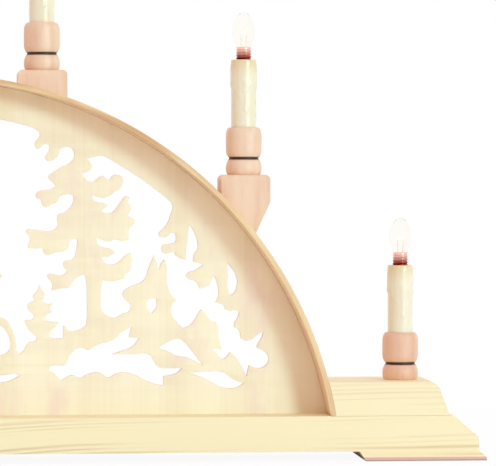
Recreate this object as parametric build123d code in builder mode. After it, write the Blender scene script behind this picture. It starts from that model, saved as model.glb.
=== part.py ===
"""Electric candle arch: a bent wood hoop round a fretwork forest panel, on a pine plinth.

Frame: X runs along the length (right is +X), the front faces -Y, Z is up.
The origin is the middle of the foot print on the table. Lengths are in millimetres.
"""
import os
from math import asin, cos, degrees, hypot, radians, sin, sqrt

from build123d import *

# Fits and cuts
seat_gap = 0.05          # glued, pressed or resting faces of round pieces
slip_gap = 0.1           # a round piece that goes into its bore by hand
cut_over = 1.0           # how far a cutting shape runs past the face it cuts

# Plinth
foot_height = 5.6
foot_length = 77.6
foot_reach = 4.0         # how far a foot stands out past the plinth
foot_slope = 3.7         # height of the sloped upper edge of a foot
foot_undercut = 3.3      # lean of a foot's inner end
base_height = 21.8
base_depth = 56.0
base_bevel_drop = 13.2
base_bevel_run = 15.4
base_end_lean = 0.6
base_edge_round = 0.8
podium_height = 20.5
podium_length = 69.9     # from the hoop's foot to the podium's outer bottom edge
podium_lean = 6.9
podium_corner_run = 4.0
podium_corner_drop = 2.6
podium_ledge = 2.2
tenon_length = 6.0       # depth of the hoop's tenons in the plinth
tenon_shoulder = 8.0     # how far a tenon keeps back from the hoop's edges
panel_housing = 5.0      # depth of the panel's lower edge in the plinth

# Wiring space in the plinth
channel_width = 20.0
channel_ceiling = 11.0   # height of the channel above the plinth's underside
channel_overrun = 11.0   # how far the channel runs past the podium lamps
cover_thickness = 3.0
cover_lap = 3.0
cover_screw_pitch = 120.0
cover_screw_margin = 20.0   # least room between a row of screws and a foot
terminal_x = 190.0       # how far left of the middle the mains lead comes in
terminal_length = 16.0
terminal_width = 16.0
terminal_height = 7.2
terminal_screw_radius = 1.6
terminal_screw_length = 5.0
terminal_screw_stand = 0.3
terminal_pole_pitch = 8.0
inlet_radius = 2.6       # bore of the bush for the mains lead
bush_wall = 1.0
bush_flange = 2.0
bush_flange_depth = 1.5

# Hoop and panel
arch_radius = 250.0      # outer face of the hoop
arch_drop = 42.0         # how far the hoop's centre lies below the plinth's top
hoop_thickness = 3.4
hoop_depth = 56.0
panel_thickness = 4.0
panel_back = 0.0         # Y of the panel's rear face
panel_gap = 0.1
border_width = 19.9      # from the hoop to the fretwork's openings
sill_height = 8.0        # from the plinth to the lowest opening, at least

# Candle seats on the hoop
high_angle = 15.9        # degrees from the top of the hoop
low_angle = 50.3
block_width = 30.0
block_depth = 30.0
block_edge = 3.0
high_block_rise = 12.3   # from the hoop to the block's top, on the lamp's axis
low_block_rise = 29.2
low_block_side = 16.5    # upright part of the outer side of a low block
low_block_cut_lean = 9.2
podium_lamp_reach = 43.0 # from the hoop's foot to the podium lamp's axis

# Turned candle holder
spigot_radius = 7.5
spigot_length = 4.0
bead_height = 9.6
bead_radius = 11.0
bead_foot_radius = 10.2
bead_neck_radius = 9.3
groove_height = 1.0
groove_radius = 9.0
cup_height = 18.5
cup_radius = 11.0
cup_lip_radius = 9.2
cup_foot_radius = 9.3
cup_round = 4.2
cup_bore_depth = 17.0

# Candle sleeve with moulded wax drips
sleeve_radius = 7.7
sleeve_bore = 6.4
sleeve_show = 41.5       # how far it stands above the cup
sleeve_top_wall = 1.2
sleeve_mouth = 5.3
sleeve_shoulder = 1.6
skirt_radius = 8.3
skirt_height = 16.5
drip_radius = 2.4
drip_stand = 0.2         # how far the drips stand out past the skirt
drip_top = 2.8           # from the sleeve's top to where the drips start
# Length of each drip as a share of the sleeve that shows, from the front round by the right
drip_shares = [0.78, 0.44, 0.47, 0.42, 0.5, 0.43, 0.6, 0.48, 0.45, 0.52]

# Lamp socket
socket_radius = 6.3
socket_top_gap = 0.2
socket_length = 21.0
shell_radius = 5.2
shell_bore = 4.85
shell_length = 8.0
plunger_radius = 1.2
plunger_length = 11.5
plunger_head_radius = 2.2
plunger_head = 1.5
plunger_chamber = 4.0
plunger_chamber_depth = 5.0

# Screw-in bulb
cap_radius = 4.75        # over the crests of the thread
cap_root_radius = 4.25
cap_wall = 0.35
cap_length = 15.5
cap_rise = 7.8           # how far the cap's rim stands above the sleeve's top
cap_taper = 2.0
thread_pitch = 1.81
thread_turns = 7
cap_nose_radius = 2.4
cap_floor = 0.8
tip_radius = 1.6
tip_length = 1.2
bulb_neck_radius = 4.6
bulb_neck_length = 0.8
bulb_neck_flare = 35     # degrees from upright, where the glass swells out of the neck
bulb_radius = 6.8
bulb_belly_height = 17.0 # widest place, above the sleeve's top
bulb_upper_radius = 5.2
bulb_upper_height = 24.3
bulb_show = 29.0         # how far the bulb stands above the sleeve's top
bulb_wall = 0.6
stem_radius = 0.25
stem_spread = 1.6
stem_height = 22.5
filament_radius = 0.12

# Leads
lead_radius = 0.8
lead_spread = 1.1        # each lead's distance from the lamp's axis, along X
lead_y = 3.0             # the leads hang behind the panel
lead_hole_radius = 3.0
lead_dip = 3.0           # from the hoop's inner face to the lead's corner under a lamp
lead_swing = 7.0         # level run of a lead before it turns up into a lamp
lead_start_angle = 6.0   # degrees along the hoop from a lamp to the first fixed point
lead_end_angle = 74.0    # degrees from the top of the hoop to the last fixed point
foot_lead_rise = 6.0     # height above the plinth where the lead turns straight down
lead_bed = 0.95          # from the hoop's inner face to a clipped lead's axis
foot_hole_radius = 2.2
foot_lead_inset = 3.2    # from the hoop's inner face to the lead that enters the plinth
upper_lead_depth = 2.4   # from the channel's ceiling to the lead of the outer lamp
lower_lead_depth = 6.2   # from the channel's ceiling to the lead from the terminal
bend_radius = 4.0        # at the corners under the lamps and in the plinth
bend_share = 0.4         # share of a run that a bend between two clips may take
clip_length = 4.0
clip_width = 5.0
clip_wall = 0.7

# Screws
foot_screw_length = 38.0
foot_screw_radius = 1.75
foot_screw_head = 3.6
screw_head_angle = 45    # degrees
foot_screw_y = 21.0
foot_screw_spread = 15.0
cover_screw_length = 8.0
cover_screw_radius = 1.1
cover_screw_head = 2.2
cover_screw_head_height = 0.9
screw_sink = 0.2

# Worked out heights and places
base_bottom = foot_height
base_top = base_bottom + base_height
podium_top = base_top + podium_height
arch_z = base_top - arch_drop
hoop_inner = arch_radius - hoop_thickness
panel_radius = hoop_inner - panel_gap
panel_front = panel_back - panel_thickness
channel_top = base_bottom + channel_ceiling
cover_top = base_bottom + cover_thickness


def arch_height(x, radius):
    """Height of a circle about the hoop's centre, above a place x."""
    return arch_z + sqrt(radius ** 2 - x ** 2)


def arch_reach(z, radius):
    """Half width of a circle about the hoop's centre, at a height z."""
    return sqrt(radius ** 2 - (z - arch_z) ** 2)


hoop_foot = arch_reach(base_top, arch_radius)
podium_lamp = hoop_foot + podium_lamp_reach
high_lamp = arch_radius * sin(radians(high_angle))
low_lamp = arch_radius * sin(radians(low_angle))
podium_end = hoop_foot + podium_length
base_shoulder = podium_end + podium_ledge
base_waist = base_shoulder + base_bevel_run
base_end = base_waist + base_end_lean
channel_end = podium_lamp + channel_overrun
foot_end = base_end + foot_reach
high_seat = arch_height(high_lamp, arch_radius) + high_block_rise
low_seat = arch_height(low_lamp, arch_radius) + low_block_rise

# Heights in a candle, from its seat
groove_z = bead_height
cup_z = groove_z + groove_height
cup_top = cup_z + cup_height
cup_floor = cup_top - cup_bore_depth
sleeve_top = cup_top + sleeve_show
rim_z = sleeve_top + cap_rise
nose_z = rim_z - cap_length
tip_z = nose_z - tip_length
socket_top = sleeve_top - sleeve_top_wall - socket_top_gap
socket_bottom = socket_top - socket_length
shell_top = socket_top - socket_top_gap
shell_z = shell_top - shell_length
plunger_z = tip_z - plunger_head - plunger_length

# The lamps from left to right: place along X and height of the seat
lamps = [
    (-podium_lamp, podium_top),
    (-low_lamp, low_seat),
    (-high_lamp, high_seat),
    (high_lamp, high_seat),
    (low_lamp, low_seat),
    (podium_lamp, podium_top),
]

# Fretwork, read by eye off a picture of the right half, in picture units. The hoop's
# centre and outer radius in the same units turn a point into millimetres.
picture_centre = (-69.2, 482.2)
picture_radius = 407.2

# Left side of the tall pine, from the border down to its root
pine_left = [
    (14.4, 122.5), (32.5, 127.3), (39.2, 131.6), (40.7, 135.4), (34.4, 143), (36.8, 149.3),
    (40.7, 147.8), (44, 144), (49.3, 144.5), (49.3, 150.7), (44.5, 157.4), (47.8, 161.2),
    (52, 161), (58.4, 155.5), (59.3, 150.7), (62.7, 147.4), (71.3, 146.9), (74.2, 152.6),
    (74.6, 157.4), (69.4, 163.2), (61.2, 167), (53.6, 171.8), (47.4, 176.6), (51.7, 181.3),
    (56.5, 186), (48.8, 189.5), (39.2, 190.4), (35.4, 194.3), (37.3, 198.6), (41.1, 199),
    (42.1, 204.3), (45.9, 207.7), (51.2, 203.8), (57, 202), (61.2, 194.7), (72.7, 193.8),
    (73.7, 198.6), (71.8, 205.3), (65, 212), (57.4, 213.9), (57.4, 220.6), (58.4, 225.4),
    (51.7, 231), (41.1, 230), (28.7, 228.2), (25.8, 231), (31.5, 239), (28.4, 242.8),
    (28.4, 247.4), (35.3, 248.2), (43, 247), (43.7, 252.8), (48.3, 255), (55.2, 251.6),
    (63.6, 251.2), (69, 246.6), (69.7, 239.7), (72.8, 238.2), (77.4, 238.6), (76.6, 248.2),
    (73.6, 259.3), (64.4, 260), (62.9, 265), (67.4, 270.4), (62.1, 275.3), (56.7, 274.2),
    (48.3, 272.7), (47.9, 278), (52.9, 283.4), (51.7, 289.4), (62, 287.6), (70, 287),
    (72.9, 279.6), (82.7, 273.3), (86.3, 277.3), (86.9, 300), (86.7, 323.8), (80.4, 329),
]
# The ground at the root, the small fir in front of it and the end of the footbridge
small_fir = [
    (73.5, 330.7), (67.7, 329.5), (65.4, 325.5), (63.1, 325.5), (63.1, 337.6), (50.5, 337.6),
    (48.8, 333), (50.5, 329.5), (56.3, 325), (58.5, 321.5), (49.4, 321), (44.8, 319.2),
    (44.8, 314.6), (52.8, 310.6), (49.4, 308.9), (52.2, 303.1), (45.9, 303.1), (42.5, 299.7),
    (44.8, 294), (43, 290.5), (39.6, 284.2), (37.3, 290.5), (32.7, 295), (35, 300.3),
    (28.1, 302.6), (27.5, 307.7), (29.8, 310.6), (34.4, 315.2), (32.7, 319.2), (24.7, 319.2),
    (26.4, 326), (33.3, 333.6), (36.7, 335.3), (36.2, 340.4), (27.5, 341.6), (23, 351.4),
    (17.2, 351.4), (16.1, 339.9), (12.6, 328.4), (6.9, 318.6),
]
# Top of the footbridge, from its end to its crown in the middle of the arch
bridge_top = [(-8, 313.5), (-27, 309), (-48, 306.5)]
bridge_crown = 305.5
# Opening under the bridge, between its end and the middle post
bridge_hole = [
    (3.4, 325.5), (9.2, 335.3), (10.9, 343.3), (9.2, 350.2), (0, 354.8), (-18, 357),
    (-40, 358), (-63, 358), (-63, 337), (-61, 314), (-46, 313.5), (-27, 315.5), (-9, 319.5),
]
# Forest on the right: border, slope with firs, hut, right side of the tall pine
right_forest = [
    (87.3, 159), (92.7, 157), (104.2, 155.2), (110.3, 158.2), (123.3, 165.9), (142.7, 179.6),
    (148.5, 183.7), (160.6, 193), (166.3, 196.1), (172, 203.2), (172.7, 208.3),
    (170.2, 214.6), (167.6, 222.9), (161.2, 230), (158, 233.1), (160.6, 237.6), (167, 236.6),
    (170.8, 231.9), (175.3, 233.1), (175.9, 238.9), (175.3, 242), (170.2, 243.7),
    (162.5, 244.3), (161.2, 247.8), (162.5, 252.9), (168.9, 252.9), (173.3, 251),
    (177.5, 257.4), (185.2, 259.2), (186.1, 243.7), (187.8, 236.8), (188.7, 224.7),
    (191.3, 226.4), (196.4, 236.8), (198.2, 248.8), (193.9, 253.1), (193, 261.7),
    (203.3, 264.3), (196.4, 269.5), (186.1, 272.9), (187.8, 279), (195.6, 280.7),
    (199.9, 288.4), (208.5, 285), (210.2, 281.5), (213.7, 275.5), (217.1, 281.5),
    (218.8, 295.3), (215.4, 302.2), (224, 304.8), (225.7, 310.8), (237.8, 310), (238.6, 316),
    (232.6, 326.3), (239.5, 329.8), (241.2, 340.1), (251.5, 340.1), (260.2, 332.3),
    (263.6, 334.9), (255, 348.7), (261.9, 349.6), (268.8, 355.6), (267.9, 364.2),
    (258.4, 369.4), (249, 365), (246.4, 376.3), (237.8, 359), (230, 352.1), (222.3, 360.8),
    (217.1, 353.9), (211.9, 348.7), (221.4, 348.7), (218, 336.7), (218, 322.9),
    (210.2, 321.1), (205, 312.5), (200.7, 309.1), (186.1, 330.6), (174, 319.4),
    (170.6, 312.5), (171.5, 304), (175.8, 299.6), (169.7, 293.6), (166.3, 281.5),
    (166.3, 261), (160.7, 261.8), (159, 269.8), (157.3, 265.3), (153.8, 255), (149.2, 265.3),
    (144.6, 279), (140, 282.5), (129.7, 286), (121.7, 292.2), (124, 298.5), (130.9, 304.3),
    (129.7, 311.2), (121.7, 313.5), (114.8, 318), (105.6, 314.6), (101.6, 310),
    (99.9, 304.3), (101.9, 277.2), (108, 281.1), (118, 279.2), (124.8, 278), (124.8, 273.4),
    (130.2, 270.4), (131.7, 258.9), (130.2, 252.8), (124.8, 255), (118.7, 261.9),
    (111.8, 264.6), (104.2, 262.7), (101.1, 256.6), (112.6, 255), (112.6, 248.5),
    (101.1, 246.6), (96.5, 242.8), (96.5, 237.4), (100.4, 239), (108, 241.3),
    (114.9, 238.6), (121.8, 240.9), (129.4, 239), (127.9, 232.9), (129.4, 226.7),
    (134.8, 222.9), (133.3, 218.3), (127.1, 215.3), (131.7, 207.6), (127.1, 201.5),
    (129.4, 196.9), (124.8, 195.4), (120.3, 202.2), (114.9, 209.1), (111.1, 213),
    (102.6, 212.2), (102.6, 208.4), (107.2, 205.7), (105.7, 203), (96.5, 201.8),
    (91.9, 198), (92.7, 194.2), (97.3, 196.5), (103.4, 198), (111.8, 194.2), (114.1, 191.1),
    (119.5, 189.6), (122.9, 181.2), (122.5, 177.3), (118.7, 174.3), (112.6, 175),
    (110.3, 178.1), (108, 180.4), (105.7, 177.3), (101.9, 175), (97.3, 178.1),
    (93.5, 181.6), (87.3, 180.8), (85, 178.1), (81.6, 173.1), (87.3, 172), (92.7, 167.4),
    (91.2, 163.6),
]
hut_window = [(146.5, 297.9), (156, 297.9), (156, 310), (146.5, 310)]
slope_leaf = [
    (226.6, 257.4), (237.8, 278.1), (236, 290.1), (231.7, 295.3), (227.4, 291.9),
    (227.4, 267.8),
]
drift_high = [
    (156.8, 347.8), (163.7, 343.5), (175.8, 337.5), (182.7, 340.1), (192, 351),
    (202.5, 365), (187.8, 357.3), (175.8, 355.6), (167.2, 350.4),
]
drift_low = [
    (187, 372.8), (205, 371.1), (222.3, 371.1), (232.6, 379.7), (243.8, 383.1),
    (236, 388.3), (224, 388.3), (211.9, 382.3), (199.9, 376.3),
]
drift_middle = [
    (20.1, 372), (12.6, 378.9), (0, 381.8), (-20, 381), (-36, 376.5), (-22, 373.5),
    (0, 374.3),
]
ground_hole = [
    (48.8, 367.4), (51.1, 364), (66.6, 364.6), (67.7, 357), (74.6, 348.5), (81.5, 346.2),
    (87.8, 350.2), (97.6, 343.3), (109, 341), (117, 336.4), (121.7, 330.7), (131.4, 326),
    (128.6, 336.4), (138.9, 337.6), (132, 346.8), (122.8, 349.6), (112, 353.6),
    (133.2, 353.6), (143.5, 352.5), (150.4, 354.8), (153.8, 361.7), (158.4, 367.4),
    (170, 368), (181.8, 367.6), (175.8, 373.7), (159.6, 376.6), (164.2, 383.5),
    (159.6, 385.2), (144.6, 380), (135.5, 374.3), (124, 371.4), (114.8, 373.2),
    (107.9, 377.8), (102.2, 373.2), (96.4, 370.9), (84.9, 374.3), (80.4, 377.8),
    (72.3, 373.7), (64.3, 377.2), (60.8, 380), (56.3, 374.3), (48.8, 369.7),
]

# Deer on the bridge, in shares of the stag's height, hooves at 0, looking to the left
deer_height = 44.0
doe_scale_share = 0.8
stag_place_share = -0.36  # middle of the stag, as a share of its height from the arch's axis
doe_place_share = 0.66
hoof_sink_share = 0.04
body_shares = [
    (-0.26, 0), (-0.19, 0), (-0.185, 0.2), (-0.16, 0.3), (-0.05, 0.29), (0.1, 0.31),
    (0.2, 0.35), (0.24, 0.24), (0.2, 0.13), (0.23, 0), (0.3, 0), (0.285, 0.13),
    (0.34, 0.25), (0.36, 0.39), (0.37, 0.47), (0.42, 0.42), (0.405, 0.53), (0.31, 0.57),
    (0.1, 0.545), (-0.06, 0.56), (-0.14, 0.64), (-0.18, 0.72),
]
stag_head_shares = [
    (-0.2, 0.76), (-0.11, 0.79), (-0.2, 0.82), (-0.17, 0.87), (-0.07, 0.93), (-0.11, 0.97),
    (-0.18, 0.93), (-0.18, 1), (-0.25, 1), (-0.245, 0.91), (-0.34, 0.98), (-0.38, 0.94),
    (-0.28, 0.85), (-0.28, 0.8), (-0.32, 0.77), (-0.43, 0.7), (-0.42, 0.65), (-0.32, 0.66),
    (-0.29, 0.58), (-0.3, 0.48), (-0.27, 0.38), (-0.255, 0.28), (-0.255, 0.2),
]
doe_head_shares = [
    (-0.19, 0.77), (-0.14, 0.86), (-0.23, 0.82), (-0.32, 0.77), (-0.42, 0.7), (-0.41, 0.65),
    (-0.32, 0.66), (-0.29, 0.58), (-0.3, 0.48), (-0.27, 0.38), (-0.255, 0.28),
    (-0.255, 0.2),
]
corner_cut_share = 0.25   # how far along each side a fretwork corner is rounded off


def place(point, side=1):
    """A picture point as X and Z in the arch, mirrored for side -1."""
    across = (point[0] - picture_centre[0]) / picture_radius * arch_radius
    up = (picture_centre[1] - point[1]) / picture_radius * arch_radius
    return (side * across, arch_z + up)


def eased(points):
    """A closed outline with each corner rounded off as a fret saw leaves it."""
    soft = []
    for here, there in zip(points, points[1:] + points[:1]):
        for share in (corner_cut_share, 1 - corner_cut_share):
            soft.append(tuple(a + (b - a) * share for a, b in zip(here, there)))
    return soft


def outline(points, mode):
    """A closed straight-sided face in the sketch that is open."""
    Polygon(*points, align=None, mode=mode)


def deer(head_shares, scale_share, place_share, facing):
    """Outline of a deer that stands on the footbridge."""
    size = deer_height * scale_share
    middle = deer_height * place_share
    ground = arch_height(middle, bridge_radius) - size * hoof_sink_share
    points = body_shares + head_shares
    return [(middle + facing * size * u, ground + size * v) for u, v in points]


# The main opening: one side's outline, the crown of the bridge, and its mirror image
border_radius = hoop_inner - border_width
bridge_radius = (picture_centre[1] - bridge_crown) / picture_radius * arch_radius
border_step = 5
half_opening = [place(p) for p in pine_left + small_fir + bridge_top]
mirrored_half = [(-x, z) for x, z in reversed(half_opening)]
border_end = degrees(asin(half_opening[0][0] / border_radius))
border_angles = [border_end * i / border_step for i in range(1 - border_step, border_step)]
border_arc = [
    (border_radius * sin(radians(a)), arch_z + border_radius * cos(radians(a)))
    for a in border_angles
]
main_opening = half_opening + [(0, arch_z + bridge_radius)] + mirrored_half + border_arc
mirrored_openings = [
    right_forest, hut_window, slope_leaf, drift_high, drift_low, drift_middle, ground_hole,
    bridge_hole,
]

os.makedirs("parts", exist_ok=True)


def save(piece, name):
    """Label a finished piece and write its STEP file."""
    piece.label = name
    export_step(piece, f"parts/{name}.step")


def front_plane(y):
    """The plane of the front view at a given Y, with its own Y upwards."""
    return Plane(origin=(0, y, 0), x_dir=(1, 0, 0), z_dir=(0, -1, 0))


# Fretwork panel: plywood, glued into the hoop and housed in the plinth
panel_foot = base_top - panel_housing
panel_foot_half = arch_reach(base_top, panel_radius) - hoop_thickness
with BuildSketch(front_plane(panel_back)) as openings:
    outline(eased(main_opening), Mode.ADD)
    for opening in mirrored_openings:
        for side in (1, -1):
            outline(eased([place(p, side) for p in opening]), Mode.ADD)
    outline(eased(deer(stag_head_shares, 1, stag_place_share, 1)), Mode.SUBTRACT)
    outline(eased(deer(doe_head_shares, doe_scale_share, doe_place_share, -1)), Mode.SUBTRACT)
    with Locations((0, arch_z)):
        Circle(border_radius, mode=Mode.INTERSECT)
    with Locations((0, base_top + sill_height)):
        Rectangle(4 * arch_radius, 2 * arch_radius, align=(Align.CENTER, Align.MAX),
                  mode=Mode.SUBTRACT)
with BuildPart() as fretwork_panel:
    with BuildSketch(front_plane(panel_back)):
        with Locations((0, arch_z)):
            Circle(panel_radius)
        with Locations((0, base_top)):
            Rectangle(4 * arch_radius, 2 * arch_radius, align=(Align.CENTER, Align.MAX),
                      mode=Mode.SUBTRACT)
        with Locations((0, base_top)):
            Rectangle(2 * panel_foot_half, panel_housing, align=(Align.CENTER, Align.MAX))
    extrude(amount=panel_thickness)
    extrude(openings.sketch, amount=panel_thickness, mode=Mode.SUBTRACT)
save(fretwork_panel.part, "fretwork_panel")

# Hoop: bent strip of beech that stands on the plinth with a tenon at each end, and has a
# lead hole under each lamp
tenon_end = base_top - tenon_length
tenon_width = hoop_depth - 2 * tenon_shoulder
with BuildPart() as arch_hoop:
    for foot, width in ((base_top, hoop_depth), (tenon_end, tenon_width)):
        with BuildSketch(front_plane(width / 2)):
            with Locations((0, arch_z)):
                Circle(arch_radius)
                Circle(hoop_inner, mode=Mode.SUBTRACT)
            with Locations((0, foot)):
                Rectangle(4 * arch_radius, 2 * arch_radius, align=(Align.CENTER, Align.MAX),
                          mode=Mode.SUBTRACT)
        extrude(amount=width)
    with BuildSketch(Plane.XY.offset(base_top)):
        with Locations(*[(x, lead_y) for x in (-low_lamp, -high_lamp, high_lamp, low_lamp)]):
            Circle(lead_hole_radius)
    extrude(amount=arch_radius, mode=Mode.SUBTRACT)
save(arch_hoop.part, "arch_hoop")

# Plinth board: pine, bevelled ends, routed underneath for the leads
base_profile = [
    (base_end, base_bottom), (base_waist, base_top - base_bevel_drop),
    (base_shoulder, base_top), (-base_shoulder, base_top),
    (-base_waist, base_top - base_bevel_drop), (-base_end, base_bottom),
]
foot_lead_x = arch_reach(base_top, hoop_inner) - foot_lead_inset
cover_width = channel_width + 2 * cover_lap
cover_half = channel_end + cover_lap
foot_inner = base_end - foot_length + foot_reach
cover_screw_rows = int((foot_inner - cover_screw_margin) / cover_screw_pitch)
cover_screw_places = [
    (row * cover_screw_pitch, lead_y + side * (channel_width + cover_lap) / 2)
    for row in range(-cover_screw_rows, cover_screw_rows + 1)
    for side in (1, -1)
]
foot_screw_places = [
    (side * (podium_lamp + lean * foot_screw_spread), row * foot_screw_y)
    for side in (1, -1) for lean in (1, -1) for row in (1, -1)
]
with BuildPart() as base_board:
    with BuildSketch(front_plane(base_depth / 2)):
        outline(base_profile, Mode.ADD)
    extrude(amount=base_depth)
    long_edges = base_board.edges().filter_by(Axis.X).group_by(Axis.Z)[-1]
    fillet(long_edges, radius=base_edge_round)
    with BuildSketch(front_plane(tenon_width / 2 + seat_gap)):
        with Locations((0, arch_z)):
            Circle(arch_radius + seat_gap)
            Circle(hoop_inner - seat_gap, mode=Mode.SUBTRACT)
        with Locations((0, tenon_end)):
            Rectangle(4 * arch_radius, 2 * arch_radius, align=(Align.CENTER, Align.MAX),
                      mode=Mode.SUBTRACT)
    extrude(amount=tenon_width + 2 * seat_gap, mode=Mode.SUBTRACT)
    with BuildSketch(Plane.XY.offset(panel_foot)):
        with Locations((0, (panel_front + panel_back) / 2)):
            Rectangle(2 * (panel_foot_half + seat_gap), panel_thickness)
    extrude(amount=panel_housing + cut_over, mode=Mode.SUBTRACT)
    with BuildSketch(Plane.XY.offset(base_bottom)):
        with Locations((0, lead_y)):
            Rectangle(2 * channel_end, channel_width)
    extrude(amount=channel_ceiling, mode=Mode.SUBTRACT)
    with BuildSketch(Plane.XY.offset(base_bottom)):
        with Locations((0, lead_y)):
            Rectangle(2 * (cover_half + seat_gap), cover_width + 2 * seat_gap)
    extrude(amount=cover_thickness, mode=Mode.SUBTRACT)
    with BuildSketch(Plane.XY.offset(channel_top)):
        with Locations((podium_lamp, lead_y), (-podium_lamp, lead_y)):
            Circle(lead_hole_radius)
        with Locations((foot_lead_x, lead_y), (-foot_lead_x, lead_y)):
            Circle(foot_hole_radius)
    extrude(amount=base_height, mode=Mode.SUBTRACT)
    with BuildSketch(front_plane(base_depth / 2)):
        with Locations((-terminal_x, (cover_top + channel_top) / 2)):
            Circle(inlet_radius + bush_wall + seat_gap)
    extrude(amount=(base_depth - channel_width) / 2, mode=Mode.SUBTRACT)
    with BuildSketch(Plane.XY.offset(base_bottom)):
        with Locations(*foot_screw_places):
            Circle(foot_screw_radius)
    extrude(amount=base_height, mode=Mode.SUBTRACT)
    with BuildSketch(Plane.XY.offset(cover_top)):
        with Locations(*cover_screw_places):
            Circle(cover_screw_radius)
    extrude(amount=cover_screw_length - cover_thickness, mode=Mode.SUBTRACT)
save(base_board.part, "base_board")

# Podiums: carry the outer lamps and lean against the hoop's ends
foot_screw_tip = screw_sink + foot_screw_length
for side, name in ((1, "podium_right"), (-1, "podium_left")):
    corner_x = podium_end - podium_lean
    with BuildPart() as podium:
        with BuildSketch(front_plane(base_depth / 2)):
            outline([
                (0, base_top), (side * podium_end, base_top),
                (side * corner_x, podium_top - podium_corner_drop),
                (side * (corner_x - podium_corner_run), podium_top), (0, podium_top),
            ], Mode.ADD)
            with Locations((0, arch_z)):
                Circle(arch_radius + seat_gap, mode=Mode.SUBTRACT)
        extrude(amount=base_depth)
        long_edges = podium.edges().filter_by(Axis.X).group_by(Axis.Z)[-1]
        fillet(long_edges, radius=base_edge_round)
        with BuildSketch(Plane.XY.offset(base_top)):
            with Locations((side * podium_lamp, lead_y)):
                Circle(lead_hole_radius)
        extrude(amount=podium_height, mode=Mode.SUBTRACT)
        with BuildSketch(Plane.XY.offset(podium_top)):
            with Locations((side * podium_lamp, 0)):
                Circle(spigot_radius + seat_gap)
        extrude(amount=-spigot_length, mode=Mode.SUBTRACT)
        with BuildSketch(Plane.XY.offset(base_top)):
            with Locations(*[p for p in foot_screw_places if p[0] * side > 0]):
                Circle(foot_screw_radius)
        extrude(amount=foot_screw_tip - base_top, mode=Mode.SUBTRACT)
    save(podium.part, name)

# Feet: bevelled boards under both ends
for side, name in ((1, "foot_right"), (-1, "foot_left")):
    with BuildPart() as foot:
        with BuildSketch(Plane.XY):
            with Locations((side * (foot_inner + foot_end) / 2, 0)):
                Rectangle(foot_end - foot_inner, base_depth + 2 * foot_reach)
        extrude(amount=foot_height)
        top_edges = foot.edges().group_by(Axis.Z)[-1]
        outer_edges = top_edges.sort_by(lambda edge: side * edge.center().X)[1:]
        chamfer(outer_edges, length=foot_reach, length2=foot_slope,
                reference=foot.faces().sort_by(Axis.Z)[-1])
        with BuildSketch(front_plane(base_depth)):
            outline([
                (side * (foot_inner - cut_over), 0), (side * (foot_inner + foot_undercut), 0),
                (side * foot_inner, foot_height), (side * (foot_inner - cut_over), foot_height),
            ], Mode.ADD)
        extrude(amount=2 * base_depth, mode=Mode.SUBTRACT)
        with BuildSketch(Plane.XY):
            with Locations(*[p for p in foot_screw_places if p[0] * side > 0]):
                Circle(foot_screw_radius)
        extrude(amount=foot_height, mode=Mode.SUBTRACT)
        with BuildSketch(Plane.XY):
            with Locations(*[p for p in foot_screw_places if p[0] * side > 0]):
                Circle(foot_screw_head + screw_sink + seat_gap)
        extrude(amount=foot_screw_head - foot_screw_radius + screw_sink,
                taper=screw_head_angle, mode=Mode.SUBTRACT)
    save(foot.part, name)

# Cover of the wiring channel: hardboard, flush with the plinth's underside
with BuildPart() as channel_cover:
    with BuildSketch(Plane.XY.offset(base_bottom)):
        with Locations((0, lead_y)):
            Rectangle(2 * cover_half, cover_width)
    extrude(amount=cover_thickness)
    with BuildSketch(Plane.XY.offset(base_bottom)):
        with Locations(*cover_screw_places):
            Circle(cover_screw_radius)
    extrude(amount=cover_thickness, mode=Mode.SUBTRACT)
save(channel_cover.part, "channel_cover")

# Blocks between the hoop and the lamps on it, cut to the hoop below
for side in (1, -1):
    for lamp_x, seat, name in (
        (high_lamp, high_seat, "block_right_high"), (low_lamp, low_seat, "block_right_low"),
    ):
        low_x = lamp_x + block_width / 2
        low_z = seat - low_block_side
        corners = [(lamp_x - block_width / 2, seat), (lamp_x + block_width / 2, seat)]
        if lamp_x == low_lamp:
            corners.append((low_x, low_z))
            low_x -= low_block_cut_lean
        corners.append((low_x, arch_height(low_x, arch_radius)))
        corners.append((lamp_x - block_width / 2, arch_height(low_x, arch_radius)))
        with BuildPart() as block:
            with BuildSketch(front_plane(block_depth / 2)):
                outline([(side * x, z) for x, z in corners], Mode.ADD)
                with Locations((0, arch_z)):
                    Circle(arch_radius + seat_gap, mode=Mode.SUBTRACT)
            extrude(amount=block_depth)
            fillet(block.edges().group_by(Axis.Z)[-1], radius=block_edge)
            with BuildSketch(Plane.XY.offset(seat)):
                with Locations((side * lamp_x, lead_y)):
                    Circle(lead_hole_radius)
            extrude(amount=-arch_radius, mode=Mode.SUBTRACT)
            with BuildSketch(Plane.XY.offset(seat)):
                with Locations((side * lamp_x, 0)):
                    Circle(spigot_radius + seat_gap)
            extrude(amount=-spigot_length, mode=Mode.SUBTRACT)
        save(block.part, name if side == 1 else name.replace("right", "left"))

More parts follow.
